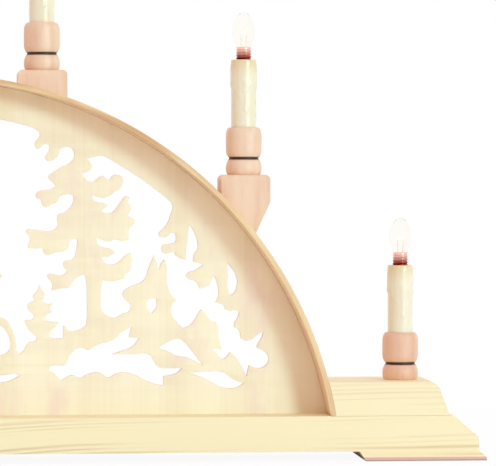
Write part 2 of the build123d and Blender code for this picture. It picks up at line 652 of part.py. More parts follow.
# Turned holder: bead, burnt groove and cup, with a spigot below and the sleeve's bore above
with BuildPart() as candle_holder:
    with BuildSketch(front_plane(0)):
        with BuildLine():
            Polyline((0, -spigot_length), (spigot_radius, -spigot_length), (spigot_radius, 0),
                     (bead_foot_radius, 0))
            ThreePointArc((bead_foot_radius, 0), (bead_radius, bead_height / 2),
                          (bead_neck_radius, bead_height))
            Polyline((bead_neck_radius, bead_height), (groove_radius, groove_z),
                     (groove_radius, cup_z), (cup_foot_radius, cup_z))
            TangentArc((cup_radius, cup_z + cup_round), (cup_foot_radius, cup_z),
                       tangent=(0, -1))
            Line((cup_radius, cup_z + cup_round), (cup_radius, cup_top - cup_round))
            TangentArc((cup_radius, cup_top - cup_round), (cup_lip_radius, cup_top),
                       tangent=(0, 1))
            Polyline((cup_lip_radius, cup_top), (sleeve_radius + slip_gap, cup_top),
                     (sleeve_radius + slip_gap, cup_floor), (0, cup_floor),
                     (0, -spigot_length))
        make_face()
    revolve(axis=Axis.Z)
    with BuildSketch(Plane.XY.offset(-spigot_length)):
        with Locations((0, lead_y)):
            Circle(lead_hole_radius)
    extrude(amount=cup_floor + spigot_length, mode=Mode.SUBTRACT)

# Sleeve: plastic tube with a rounded mouth, a skirt and moulded drips of wax
with BuildPart() as candle_sleeve:
    skirt_z = sleeve_top - skirt_height
    with BuildSketch(front_plane(0)):
        with BuildLine():
            Polyline((0, cup_floor), (sleeve_radius, cup_floor), (sleeve_radius, skirt_z),
                     (skirt_radius, skirt_z), (skirt_radius, sleeve_top - sleeve_shoulder))
            TangentArc((skirt_radius, sleeve_top - sleeve_shoulder),
                       (skirt_radius - sleeve_shoulder, sleeve_top), tangent=(0, 1))
            Polyline((skirt_radius - sleeve_shoulder, sleeve_top), (0, sleeve_top),
                     (0, cup_floor))
        make_face()
    revolve(axis=Axis.Z)
    drip_reach = skirt_radius + drip_stand - drip_radius
    drip_start = sleeve_top - drip_top
    for number, share in enumerate(drip_shares):
        turn = radians(360 * number / len(drip_shares) - 90)
        drip_x = drip_reach * cos(turn)
        drip_y = drip_reach * sin(turn)
        drip_end = sleeve_top - share * sleeve_show + drip_radius
        with BuildSketch(Plane.XY.offset(drip_end)):
            with Locations((drip_x, drip_y)):
                Circle(drip_radius)
        extrude(amount=drip_start - drip_radius - drip_end)
        with Locations((drip_x, drip_y, drip_end), (drip_x, drip_y, drip_start - drip_radius)):
            Sphere(drip_radius)
    with BuildSketch(Plane.XY.offset(cup_floor)):
        Circle(sleeve_bore)
    extrude(amount=sleeve_top - sleeve_top_wall - cup_floor, mode=Mode.SUBTRACT)
    with BuildSketch(Plane.XY.offset(cup_floor)):
        Circle(sleeve_mouth)
    extrude(amount=sleeve_top - cup_floor + cut_over, mode=Mode.SUBTRACT)

# Lamp socket: moulded body, brass threaded shell and sprung centre contact
chamber_z = shell_z - plunger_chamber_depth
with BuildPart() as lamp_socket:
    with BuildSketch(front_plane(0)):
        with BuildLine():
            Polyline(
                (plunger_radius + slip_gap, socket_bottom), (socket_radius, socket_bottom),
                (socket_radius, socket_top), (shell_radius + seat_gap, socket_top),
                (shell_radius + seat_gap, shell_z), (plunger_chamber, shell_z),
                (plunger_chamber, chamber_z), (plunger_radius + slip_gap, chamber_z),
                close=True,
            )
        make_face()
    revolve(axis=Axis.Z)
with BuildPart() as socket_shell:
    with BuildSketch(Plane.XY.offset(shell_z)):
        Circle(shell_radius)
        Circle(shell_bore, mode=Mode.SUBTRACT)
    extrude(amount=shell_length)
with BuildPart() as contact_plunger:
    with BuildSketch(Plane.XY.offset(plunger_z)):
        Circle(plunger_radius)
    extrude(amount=plunger_length)
    with BuildSketch(Plane.XY.offset(tip_z)):
        Circle(plunger_head_radius)
    extrude(amount=-plunger_head)

# Bulb: brass cap with its solder tip, stem wires with the filament, and the glass. The
# cap's rolled thread is drawn as rings.
cap_floor_z = nose_z + cap_floor
thread_z = nose_z + cap_taper
thread_middle = (cap_radius + cap_root_radius) / 2
cap_bore = cap_root_radius - cap_wall
with BuildPart() as bulb_cap:
    with BuildSketch(front_plane(0)):
        with BuildLine():
            Polyline((cap_bore, rim_z), (cap_bore, thread_z + cap_wall),
                     (cap_nose_radius, cap_floor_z), (0, cap_floor_z), (0, tip_z),
                     (tip_radius, tip_z), (tip_radius, nose_z), (cap_nose_radius, nose_z),
                     (thread_middle, thread_z))
            for turn in range(thread_turns):
                turn_z = thread_z + turn * thread_pitch
                half_z = turn_z + thread_pitch / 2
                ThreePointArc((thread_middle, turn_z), (cap_radius, (turn_z + half_z) / 2),
                              (thread_middle, half_z))
                ThreePointArc((thread_middle, half_z),
                              (cap_root_radius, half_z + thread_pitch / 4),
                              (thread_middle, turn_z + thread_pitch))
            Polyline((thread_middle, thread_z + thread_turns * thread_pitch),
                     (cap_radius, rim_z), (cap_bore, rim_z))
        make_face()
    revolve(axis=Axis.Z)
with BuildPart() as bulb_stem:
    with BuildSketch(Plane.XY.offset(cap_floor_z)):
        with Locations((stem_spread, 0), (-stem_spread, 0)):
            Circle(stem_radius)
    extrude(amount=stem_height)
    with BuildLine(front_plane(0)) as filament:
        CenterArc((0, cap_floor_z + stem_height), stem_spread, 0, 180)
    with BuildSketch(Plane(origin=filament.line @ 0, z_dir=filament.line % 0)):
        Circle(filament_radius)
    sweep()
with BuildPart() as bulb_glass:
    for wall, mode in ((0, Mode.ADD), (bulb_wall, Mode.SUBTRACT)):
        neck = bulb_neck_radius - wall
        crown = sleeve_top + bulb_show - wall
        shoulder_z = rim_z + bulb_neck_length
        flare = radians(bulb_neck_flare)
        with BuildSketch(front_plane(0)):
            with BuildLine():
                Polyline((0, crown), (0, rim_z), (neck, rim_z), (neck, shoulder_z))
                Spline((neck, shoulder_z), (bulb_radius - wall, sleeve_top + bulb_belly_height),
                       (bulb_upper_radius - wall, sleeve_top + bulb_upper_height), (0, crown),
                       tangents=((sin(flare), cos(flare)), (-1, 0)))
            make_face()
        revolve(axis=Axis.Z, mode=mode)

# The same pieces at each lamp
for number, (lamp_x, seat) in enumerate(lamps, start=1):
    stand = Location((lamp_x, 0, seat))
    save(candle_holder.part.moved(stand), f"candle_holder_{number}")
    save(candle_sleeve.part.moved(stand), f"candle_sleeve_{number}")
    save(lamp_socket.part.moved(stand), f"lamp_socket_{number}")
    save(contact_plunger.part.moved(stand), f"contact_plunger_{number}")
    save(bulb_glass.part.moved(stand), f"bulb_glass_{number}")
    save(Compound([bulb_cap.part.moved(stand), bulb_stem.part.moved(stand)]),
         f"bulb_cap_{number}")
save(Compound([socket_shell.part.moved(Location((x, 0, z))) for x, z in lamps]),
     "socket_shells")

# Leads: a ring from lamp to lamp along the hoop, closed through the plinth
bed_radius = hoop_inner - lead_bed
upper_lead_z = channel_top - upper_lead_depth
lower_lead_z = channel_top - lower_lead_depth
terminal_half = terminal_length / 2


def bed_point(angle):
    """A point where a lead lies against the hoop, at an angle from its top."""
    return (bed_radius * sin(radians(angle)), arch_z + bed_radius * cos(radians(angle)))


def bed_angles(first, last, runs):
    """Evenly spaced angles of the points between two lamps."""
    return [first + (last - first) * i / runs for i in range(runs + 1)]


def leaving(lamp_x, seat):
    """A lead's way down from its socket to its corner under the hoop."""
    x = lamp_x + lead_spread
    return [(x, seat + socket_bottom), (x, arch_height(x, hoop_inner) - lead_dip)]


def arriving(lamp_x, seat):
    """A lead's level run under the hoop and its way up into a socket."""
    x = lamp_x - lead_spread
    corner = arch_height(x, hoop_inner) - lead_dip
    return [(x - lead_swing, corner), (x, corner), (x, seat + socket_bottom)]


top_angles = bed_angles(lead_start_angle - high_angle, high_angle - lead_start_angle, 2)
upper_angles = bed_angles(high_angle + lead_start_angle, low_angle - lead_start_angle, 3)
lower_angles = bed_angles(low_angle + lead_start_angle, lead_end_angle, 2)
top_route = (leaving(-high_lamp, high_seat) + [bed_point(a) for a in top_angles]
             + arriving(high_lamp, high_seat))
upper_route = (leaving(high_lamp, high_seat) + [bed_point(a) for a in upper_angles]
               + arriving(low_lamp, low_seat))
lower_route = leaving(low_lamp, low_seat) + [bed_point(a) for a in lower_angles] + [
    (foot_lead_x, base_top + foot_lead_rise), (foot_lead_x, upper_lead_z),
    (podium_lamp - lead_spread, upper_lead_z),
    (podium_lamp - lead_spread, podium_top + socket_bottom),
]
outer_x = podium_lamp + lead_spread
return_route = [
    (outer_x, podium_top + socket_bottom), (outer_x, lower_lead_z),
    (terminal_half - terminal_x, lower_lead_z),
]
mains_route = [
    (-outer_x, podium_top + socket_bottom), (-outer_x, lower_lead_z),
    (-terminal_x - terminal_half, lower_lead_z),
]
mirrored_routes = [[(-x, z) for x, z in route] for route in (upper_route, lower_route)]
routes = [top_route, upper_route, lower_route, return_route, mains_route] + mirrored_routes


def bends(route):
    """Bend radius at each inner point of a route, as large as its runs and holes allow."""
    radii = []
    for before, here, after in zip(route, route[1:], route[2:]):
        run_in = hypot(here[0] - before[0], here[1] - before[1])
        run_out = hypot(after[0] - here[0], after[1] - here[1])
        along = ((here[0] - before[0]) * (after[0] - here[0])
                 + (here[1] - before[1]) * (after[1] - here[1])) / (run_in * run_out)
        half_tangent = sqrt((1 - along) / (1 + along))
        widest = bend_share * min(run_in, run_out) / half_tangent
        upright = here[0] in (before[0], after[0])
        radii.append(min(widest, bend_radius) if upright else widest)
    return radii


lead_lengths = []
with BuildPart() as lamp_leads:
    for route in routes:
        with BuildLine(front_plane(lead_y)) as path:
            FilletPolyline(route, radius=bends(route))
        lead_wire = path.wire()
        with BuildSketch(Plane(origin=lead_wire @ 0, z_dir=lead_wire % 0)):
            Circle(lead_radius)
        sweep(path=lead_wire)
        lead_lengths.append(lead_wire.length)
save(lamp_leads.part, "lamp_leads")

# Clips that hold the leads to the hoop, one in the middle of each run
clip_places = []
for angles, sides in ((top_angles, (1,)), (upper_angles, (1, -1)), (lower_angles, (1, -1))):
    for first, last in zip(angles, angles[1:]):
        run_radius = bed_radius * cos(radians((last - first) / 2))
        clip_places += [(side * (first + last) / 2, run_radius) for side in sides]
with BuildPart() as lead_clips:
    for angle, run_radius in clip_places:
        turn = radians(angle)
        clip_top = sqrt((hoop_inner - seat_gap) ** 2 - (clip_length / 2) ** 2)
        clip_bottom = run_radius - lead_radius - clip_wall
        clip_middle = (clip_top + clip_bottom) / 2
        spot = Location((clip_middle * sin(turn), arch_z + clip_middle * cos(turn), 0),
                        (0, 0, -angle))
        with BuildSketch(front_plane(lead_y + clip_width / 2)):
            with Locations(spot):
                Rectangle(clip_length, clip_top - clip_bottom)
        extrude(amount=clip_width)
        middle = (run_radius * sin(turn), lead_y, arch_z + run_radius * cos(turn))
        with BuildSketch(Plane(origin=middle, z_dir=(cos(turn), 0, -sin(turn)))):
            Circle(lead_radius + seat_gap)
        extrude(amount=clip_length, both=True, mode=Mode.SUBTRACT)
save(lead_clips.part, "lead_clips")

# Screws: through the feet into the podiums, and through the cover into the plinth
with BuildPart() as foot_screws:
    head_height = foot_screw_head - foot_screw_radius
    with BuildSketch(Plane.XY.offset(screw_sink)):
        with Locations(*foot_screw_places):
            Circle(foot_screw_head)
    extrude(amount=head_height, taper=screw_head_angle)
    with BuildSketch(Plane.XY.offset(screw_sink)):
        with Locations(*foot_screw_places):
            Circle(foot_screw_radius - seat_gap)
    extrude(amount=foot_screw_length)
save(foot_screws.part, "foot_screws")
with BuildPart() as cover_screws:
    with BuildSketch(Plane.XY.offset(base_bottom)):
        with Locations(*cover_screw_places):
            Circle(cover_screw_radius - seat_gap)
    extrude(amount=cover_screw_length)
    with BuildSketch(Plane.XY.offset(base_bottom)):
        with Locations(*cover_screw_places):
            Circle(cover_screw_head)
    extrude(amount=-cover_screw_head_height)
save(cover_screws.part, "cover_screws")

# Mains connection in the plinth: terminal block with its screws, and the inlet's bush
terminal_z = channel_top - terminal_height
terminal_poles = [(-terminal_x + side * terminal_pole_pitch / 2, lead_y) for side in (1, -1)]
with BuildPart() as terminal_block:
    with BuildSketch(Plane.XY.offset(terminal_z)):
        with Locations((-terminal_x, lead_y)):
            Rectangle(terminal_length, terminal_width)
    extrude(amount=terminal_height)
    with BuildSketch(Plane.XY.offset(terminal_z)):
        with Locations(*terminal_poles):
            Circle(terminal_screw_radius + seat_gap)
    extrude(amount=terminal_screw_length - terminal_screw_stand, mode=Mode.SUBTRACT)
save(terminal_block.part, "terminal_block")
with BuildPart() as terminal_screws:
    with BuildSketch(Plane.XY.offset(terminal_z - terminal_screw_stand)):
        with Locations(*terminal_poles):
            Circle(terminal_screw_radius)
    extrude(amount=terminal_screw_length)
save(terminal_screws.part, "terminal_screws")
bush_spot = (-terminal_x, (cover_top + channel_top) / 2)
with BuildPart() as cable_bush:
    with BuildSketch(front_plane(base_depth / 2)):
        with Locations(bush_spot):
            Circle(inlet_radius + bush_wall)
    extrude(amount=base_depth / 2 - lead_y - channel_width / 2)
    with BuildSketch(front_plane(base_depth / 2)):
        with Locations(bush_spot):
            Circle(inlet_radius + bush_wall + bush_flange)
    extrude(amount=-bush_flange_depth)
    with BuildSketch(front_plane(base_depth / 2 + bush_flange_depth)):
        with Locations(bush_spot):
            Circle(inlet_radius)
    extrude(amount=base_depth / 2, mode=Mode.SUBTRACT)
save(cable_bush.part, "cable_bush")

for route, length in zip(routes, lead_lengths):
    print(f"lead {length:.1f} mm, bends", [round(r, 1) for r in bends(route)])
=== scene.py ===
import math

import bmesh
import bpy
from mathutils import Matrix, Vector
from mathutils.geometry import intersect_line_line_2d


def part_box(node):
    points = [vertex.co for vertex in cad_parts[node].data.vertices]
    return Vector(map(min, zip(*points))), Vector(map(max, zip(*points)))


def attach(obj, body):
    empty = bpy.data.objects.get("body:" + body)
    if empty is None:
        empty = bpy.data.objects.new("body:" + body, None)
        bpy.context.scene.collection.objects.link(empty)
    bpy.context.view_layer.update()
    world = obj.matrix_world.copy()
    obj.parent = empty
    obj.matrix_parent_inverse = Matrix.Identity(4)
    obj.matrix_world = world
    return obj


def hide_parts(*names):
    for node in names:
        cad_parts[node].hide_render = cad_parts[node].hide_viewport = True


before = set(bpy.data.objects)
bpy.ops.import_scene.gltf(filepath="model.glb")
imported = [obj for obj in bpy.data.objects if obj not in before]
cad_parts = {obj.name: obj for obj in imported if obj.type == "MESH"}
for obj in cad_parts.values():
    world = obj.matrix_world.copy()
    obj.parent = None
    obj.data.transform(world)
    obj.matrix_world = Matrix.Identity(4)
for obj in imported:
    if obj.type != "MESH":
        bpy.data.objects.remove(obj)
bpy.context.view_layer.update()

scene = bpy.context.scene
MM = 0.001

# Colours, as they look in plain light
PANEL_PALE = (0.98, 0.94, 0.815)
PANEL_TAN = (0.95, 0.895, 0.755)
PANEL_ROSE = (0.955, 0.86, 0.78)
PANEL_CORE = (0.82, 0.70, 0.53)
PINE_PALE = (0.968, 0.918, 0.75)
PINE_DARK = (0.885, 0.80, 0.63)
FOOT_LOW_TONE = (0.86, 0.70, 0.65)
FOOT_SOLE_TONE = (0.62, 0.50, 0.47)
BEECH_PALE = (0.945, 0.83, 0.72)
BEECH_DARK = (0.89, 0.73, 0.60)
BEECH_PINK = (0.92, 0.76, 0.65)
BEECH_RUST = (0.86, 0.66, 0.54)
BURNT = (0.22, 0.07, 0.02)
HOOP_PALE = (0.95, 0.83, 0.69)
HOOP_DARK = (0.88, 0.73, 0.59)
HOOP_EDGE = (0.945, 0.84, 0.65)
# HOOP_SEAM_AND_SHADE: the darker edge tone of the mottle and the glue seam, and the painted shade at
# the inner arris
HOOP_SEAM_AND_SHADE = (0.80, 0.62, 0.42)
HOOP_AMBER = (0.76, 0.51, 0.30)
WAX_IVORY = (0.95, 0.91, 0.795)
WAX_TAN = (0.90, 0.81, 0.62)
# The lamp cap: CAP_STREAK_REFLECTION paints the dark reflection streaks; CAP_GLOW and CAP_SHINE paint
# the glow of the bulb
CAP_RED = (0.66, 0.25, 0.20)
CAP_STREAK_REFLECTION = (0.38, 0.14, 0.10)
CAP_GLOW = (0.98, 0.80, 0.75)
CAP_SHINE = 0.4
SOLDER = (0.62, 0.60, 0.56)
BRASS = (0.78, 0.60, 0.30)
BRASS_STAIN = (0.55, 0.38, 0.16)
STEEL = (0.66, 0.66, 0.63)
STEEL_STAIN = (0.42, 0.40, 0.37)
PORCELAIN = (0.90, 0.89, 0.85)
CLIP_WHITE = (0.87, 0.86, 0.80)
INSULATION = (0.90, 0.88, 0.81)
HARDBOARD = (0.42, 0.28, 0.17)
HARDBOARD_PALE = (0.53, 0.37, 0.24)
FLOOR_WHITE = (0.96, 0.96, 0.96)
LAMP_LIGHT = (1.0, 0.90, 0.74)


def linear(colour):
    """A colour as it looks, in the linear values that the shaders take."""
    return tuple(c / 12.92 if c < 0.04045 else ((c + 0.055) / 1.055) ** 2.4 for c in colour) + (1,)


# Places read from the frame
LAMPS = range(1, 7)
HOOP_RADIUS = 250 * MM
HOOP_THICKNESS = 3.4 * MM
SPIGOT = 4 * MM
panel_low, panel_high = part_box("fretwork_panel")
hoop_low, hoop_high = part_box("arch_hoop")
base_low, base_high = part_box("base_board")
hoop_centre_z = hoop_high.z - HOOP_RADIUS
seats = {}
for lamp in LAMPS:
    low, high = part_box(f"candle_holder_{lamp}")
    seats[lamp] = Vector(((low.x + high.x) / 2, (low.y + high.y) / 2, low.z + SPIGOT))


class Nodes:
    """A node tree in the making: each call adds one node and gives its output."""

    kinds = "ShaderNode"

    def feed(self, socket, value):
        """A link where the value is another node's output, and a plain value otherwise."""
        if isinstance(value, bpy.types.NodeSocket):
            self.tree.links.new(value, socket)
        else:
            socket.default_value = value

    def node(self, kind, *values, named=(), **settings):
        """A node with its settings, its first inputs in order and others by name."""
        node = self.tree.nodes.new(kind if "Node" in kind else self.kinds + kind)
        for name, setting in settings.items():
            setattr(node, name, setting)
        for socket, value in zip(node.inputs, values):
            self.feed(socket, value)
        for name, value in dict(named).items():
            self.feed(node.inputs[name], value)
        return node

    def sum(self, operation, *values):
        """One step of arithmetic on numbers."""
        return self.node("ShaderNodeMath", *values, operation=operation).outputs[0]

    def vector(self, operation, *values):
        """One step of arithmetic on vectors."""
        node = self.node("ShaderNodeVectorMath", *values, operation=operation)
        return node.outputs["Value" if operation == "LENGTH" else "Vector"]

    def point(self, x, y, z):
        return self.node("ShaderNodeCombineXYZ", x, y, z).outputs[0]


class Finish(Nodes):
    """A material."""

    def __init__(self, name, roughness=0.5, **sockets):
        self.material = bpy.data.materials.new(name)
        self.material.use_nodes = True
        self.tree = self.material.node_tree
        self.tree.nodes.clear()
        output = self.node("OutputMaterial")
        self.shader = self.node("BsdfPrincipled", named={
            "Roughness": roughness,
            **{socket.replace("_", " "): value for socket, value in sockets.items()}})
        self.tree.links.new(self.shader.outputs[0], output.inputs[0])

    def place(self, offset=(0, 0, 0), turn=(0, 0, 0), stretch=(1, 1, 1)):
        """Object coordinates, stretched, turned and then moved."""
        where = self.node("TexCoord").outputs["Object"]
        return self.node("Mapping", where, offset, turn, stretch).outputs[0]

    def noise(self, where, scale, detail=2.0, rough=0.5, tint=False):
        """Noise as a height, or as a colour whose three parts differ."""
        named = {"Vector": where, "Scale": scale, "Detail": detail, "Roughness": rough}
        return self.node("TexNoise", named=named).outputs["Color" if tint else "Fac"]

    def ramp(self, value, *stops):
        """A smooth run through pairs of place and height."""
        node = self.node("ValToRGB", value)
        ramp = node.color_ramp
        ramp.interpolation = "EASE"
        while len(ramp.elements) < len(stops):
            ramp.elements.new(1.0)
        for element, (spot, height) in zip(ramp.elements, stops):
            element.position = spot
            element.color = (height, height, height, 1)
        return node.outputs[0]

    def between(self, value, low, high):
        """0 at low, 1 at high, smooth in between."""
        return self.node("MapRange", value, low, high, 0.0, 1.0,
                         interpolation_type="SMOOTHSTEP").outputs[0]

    def mix(self, share, first, second):
        """Two colours mixed; plain colours are given as they look."""
        node = self.node("Mix", data_type="RGBA")
        ends = [linear(colour) if isinstance(colour, tuple) else colour for colour in (first, second)]
        for spot, value in zip((0, 6, 7), (share, *ends)):
            self.feed(node.inputs[spot], value)
        return node.outputs[2]

    def colour(self, value):
        value = linear(value) if isinstance(value, tuple) else value
        self.feed(self.shader.inputs["Base Color"], value)

    def relief(self, height, depth, strength=0.6):
        """Bump from a height between 0 and 1, depth in metres."""
        bump = self.node("Bump", named={"Strength": strength, "Distance": depth, "Height": height})
        self.tree.links.new(bump.outputs[0], self.shader.inputs["Normal"])


def birch_plywood():
    """Pale veneer with faint upright grain; the fretted edges show the plies."""
    skin = Finish("Birch plywood", 0.62)
    broad = skin.noise(skin.place(stretch=(38, 1, 1.1)), 1.0, 1.0, 0.5)
    streak = skin.noise(skin.place(stretch=(520, 60, 3)), 1.0, 4.0, 0.6)
    tone = skin.sum("ADD", skin.sum("MULTIPLY", broad, 0.7), skin.sum("MULTIPLY", streak, 0.3))
    face = skin.mix(skin.between(tone, 0.35, 0.7), PANEL_PALE, PANEL_TAN)
    blotch = skin.between(skin.noise(skin.place(stretch=(42, 1, 17)), 1.0, 3.0, 0.6), 0.52, 0.75)
    face = skin.mix(skin.sum("MULTIPLY", blotch, 0.9), face, PANEL_ROSE)
    depth = skin.node("SeparateXYZ", skin.place()).outputs[1]
    share = skin.node("MapRange", depth, panel_low.y, panel_high.y, 0.0, 1.0).outputs[0]
    inside = skin.ramp(share, (0.0, 0.0), (0.05, 1.0), (0.95, 1.0), (1.0, 0.0))
    core = skin.ramp(share, (0.30, 0.0), (0.34, 1.0), (0.66, 1.0), (0.70, 0.0))
    edge = skin.mix(core, PANEL_TAN, PANEL_CORE)
    skin.colour(skin.mix(inside, face, edge))
    skin.relief(streak, 0.0001, 0.4)
    return skin.material


def planed_pine(name, pith, ring, tilt, drift, darker_below=0.0):
    """Softwood with rings round a pith that runs along X, and fine fibres.

    The rings are uneven: some are faint, a few darker, more so in the lower wood. Below the
    height darker_below the wood turns pinkish-brown, and darker still nearest the bottom."""
    skin = Finish(name, 0.6)
    bend = skin.noise(skin.place(offset=drift, stretch=(2.2, 9, 9)), 1.0, 2.0, 0.4, tint=True)
    bend = skin.vector("MULTIPLY", skin.vector("SUBTRACT", bend, (0.5, 0.5, 0.5)), (0, 0.014, 0.024))
    where = skin.place(offset=(0, -pith[0], -pith[1]), turn=(0, tilt, 0))
    where = skin.vector("MULTIPLY", where, (0, 1, 1))
    reach = skin.vector("LENGTH", skin.vector("ADD", where, bend))
    uneven = skin.noise(skin.point(skin.sum("MULTIPLY", reach, 150.0), drift[0], drift[1]), 1.0, 2.0)
    faint = skin.noise(skin.point(skin.sum("MULTIPLY", reach, 260.0), drift[1], drift[0]), 1.0, 1.0)
    count = skin.sum("ADD", skin.sum("DIVIDE", reach, ring), skin.sum("MULTIPLY", uneven, 4.5))
    turn = skin.sum("FRACT", count)
    rings = skin.ramp(turn, (0.0, 0.0), (0.35, 0.15), (0.75, 1.0), (0.88, 0.5), (1.0, 0.0))
    patch = skin.noise(skin.place(offset=drift, stretch=(6, 110, 110)), 1.0, 2.0)
    fibre = skin.noise(skin.place(stretch=(22, 1300, 1300)), 1.0, 4.0, 0.65)
    height = skin.node("SeparateXYZ", skin.place()).outputs[2]
    depth = skin.node("MapRange", height, base_low.z, base_high.z, 1.1, 0.45).outputs[0]
    depth = skin.sum("MULTIPLY", depth, skin.between(faint, 0.3, 0.6))
    tone = skin.sum("MULTIPLY", skin.sum("MULTIPLY", rings, skin.between(patch, 0.34, 0.62)), depth)
    tone = skin.sum("ADD", tone, skin.sum("MULTIPLY", fibre, 0.25))
    wood = skin.mix(skin.between(tone, 0.1, 1.0), PINE_PALE, PINE_DARK)
    # Darker towards the bottom: pinkish-brown low down, darker still at the sole
    if darker_below:
        wood = skin.mix(skin.between(height, darker_below, 0.75 * darker_below), wood, FOOT_LOW_TONE)
        wood = skin.mix(skin.between(height, 0.35 * darker_below, 0.1 * darker_below), wood, FOOT_SOLE_TONE)
    skin.colour(wood)
    skin.relief(tone, 0.00008, 0.4)
    return skin.material


def sanded_beech(name, along, pale, dark, charred=False):
    """Smooth beech with faint flecks along the grain; charred adds the burnt groove."""
    skin = Finish(name, 0.48)
    fleck = skin.noise(skin.place(stretch=[90 if grain else 1100 for grain in along]), 1.0, 2.0, 0.6)
    cloud = skin.noise(skin.place(stretch=[14 if grain else 110 for grain in along]), 1.0, 3.0, 0.55)
    flecks = skin.between(fleck, 0.56, 0.78)
    tone = skin.sum("ADD", cloud, skin.sum("MULTIPLY", flecks, 0.16))
    wood = skin.mix(skin.between(tone, 0.3, 0.85), pale, dark)
    if charred:
        char = skin.node("Attribute", attribute_name="char").outputs["Fac"]
        wood = skin.mix(char, wood, BURNT)
    skin.colour(wood)
    skin.relief(fleck, 0.00005, 0.4)
    return skin.material


def bent_beech():
    """The hoop: two laminated strips with their grain round it. The edges are golden, mottled
    and darker towards the top, with painted shade along the inner arris, and amber just above the foot."""
    skin = Finish("Bent beech strip", 0.5)
    x, y, z = skin.node("SeparateXYZ", skin.place(offset=(0, 0, -hoop_centre_z))).outputs
    angle = skin.sum("ARCTAN2", x, z)
    reach = skin.vector("LENGTH", skin.point(x, 0.0, z))
    where = skin.point(skin.sum("MULTIPLY", angle, HOOP_RADIUS), y, reach)
    fibre = skin.noise(skin.vector("MULTIPLY", where, (30, 700, 700)), 1.0, 4.0, 0.6)
    cloud = skin.noise(skin.vector("MULTIPLY", where, (14, 60, 60)), 1.0, 3.0, 0.5)
    tone = skin.sum("ADD", skin.sum("MULTIPLY", cloud, 0.75), skin.sum("MULTIPLY", fibre, 0.4))
    flat = skin.mix(skin.between(tone, 0.3, 0.85), HOOP_PALE, HOOP_DARK)
    share = skin.node("MapRange", reach, HOOP_RADIUS - HOOP_THICKNESS, HOOP_RADIUS, 0.0, 1.0).outputs[0]
    # Across the edge: painted shade along the inner arris, the glue seam in the middle
    seam_and_arris_shade = skin.ramp(share, (0.0, 0.8), (0.18, 0.25), (0.44, 0.1), (0.5, 0.6), (0.56, 0.2), (1.0, 0.55))
    mottle = skin.noise(skin.vector("MULTIPLY", where, (11, 40, 160)), 1.0, 4.0)
    mottle = skin.between(mottle, 0.38, 0.66)
    mottle_and_arris_shade = skin.sum("ADD", skin.sum("MULTIPLY", seam_and_arris_shade, 0.6), skin.sum("MULTIPLY", mottle, 0.6))
    height = skin.node("SeparateXYZ", skin.place()).outputs[2]
    # The mottle and the painted arris shade fade out towards the foot
    mottle_and_arris_shade = skin.sum("MULTIPLY", mottle_and_arris_shade, skin.node("MapRange", height, 0.02, 0.2, 0.2, 1.0).outputs[0])
    edge = skin.mix(skin.between(mottle_and_arris_shade, 0.1, 0.95), HOOP_EDGE, HOOP_SEAM_AND_SHADE)
    foot = skin.between(z, 0.085, 0.045)
    edge = skin.mix(skin.sum("MULTIPLY", foot, skin.between(mottle_and_arris_shade, -0.1, 0.6)), edge, HOOP_AMBER)
    rim = skin.between(skin.sum("ABSOLUTE", y), hoop_high.y - 0.6 * MM, hoop_high.y - 0.2 * MM)
    skin.colour(skin.mix(rim, flat, edge))
    skin.relief(fibre, 0.00008, 0.4)
    return skin.material


def candle_plastic():
    """Ivory plastic with a waxy depth, browner towards the top and in patches."""
    skin = Finish("Ivory candle plastic", 0.36, Subsurface_Weight=0.25, Subsurface_Scale=0.004,
                  Subsurface_Radius=(1.0, 0.75, 0.45), Coat_Weight=0.2, Coat_Roughness=0.25)
    cloud = skin.noise(skin.place(stretch=(60, 60, 22)), 1.0, 3.0, 0.5)
    warm = skin.node("Attribute", attribute_name="warm").outputs["Fac"]
    share = skin.sum("ADD", skin.sum("MULTIPLY", cloud, 0.8), skin.sum("MULTIPLY", warm, 0.45))
    skin.colour(skin.mix(skin.between(share, 0.3, 1.0), WAX_IVORY, WAX_TAN))
    skin.relief(skin.noise(skin.place(), 900.0, 2.0), 0.00006, 0.4)
    return skin.material


def moulded_plastic(name, colour, roughness=0.45):
    """Plastic with the faint texture of its mould."""
    skin = Finish(name, roughness)
    fine = skin.noise(skin.place(), 1400.0, 2.0)
    skin.colour(skin.mix(fine, colour, tuple(c * 0.94 for c in colour)))
    skin.relief(fine, 0.00004, 0.4)
    return skin.material


def metal(name, colour, stain_and_streak, roughness, stretch=(380, 380, 380), lit=None):
    """Bare metal, darker and duller where it has tarnished, and on the cap along painted reflection
    streaks; lit is a painted glow of the bulb's light, as colour and emission.
    """
    skin = Finish(name, roughness, Metallic=1.0)
    # Tarnish patches; stretched long, as on the cap, they are painted reflection streaks
    patch = skin.noise(skin.place(stretch=stretch), 1.0, 4.0, 0.6)
    tarnish_and_streaks = skin.between(patch, 0.35, 0.75)
    shown = skin.mix(tarnish_and_streaks, colour, stain_and_streak)
    if lit:
        # Painted glow of the bulb's light, as colour and as emission
        glow = skin.node("Attribute", attribute_name="glow").outputs["Fac"]
        shown = skin.mix(glow, shown, lit)
        skin.shader.inputs["Emission Strength"].default_value = CAP_SHINE
        skin.feed(skin.shader.inputs["Emission Color"], skin.mix(glow, (0, 0, 0), lit))
    skin.colour(shown)
    dull = skin.node("MapRange", tarnish_and_streaks, 0.0, 1.0, roughness - 0.08, roughness + 0.12).outputs[0]
    skin.feed(skin.shader.inputs["Roughness"], dull)
    return skin.material


def hardboard():
    """Pressed brown fibre, smooth on its outer face."""
    skin = Finish("Brown hardboard", 0.55)
    fibre = skin.noise(skin.place(stretch=(500, 900, 900)), 1.0, 5.0, 0.7)
    cloud = skin.noise(skin.place(), 35.0, 3.0)
    tone = skin.sum("ADD", skin.sum("MULTIPLY", fibre, 0.6), skin.sum("MULTIPLY", cloud, 0.4))
    skin.colour(skin.mix(skin.between(tone, 0.3, 0.7), HARDBOARD, HARDBOARD_PALE))
    skin.relief(fibre, 0.00008, 0.5)
    return skin.material


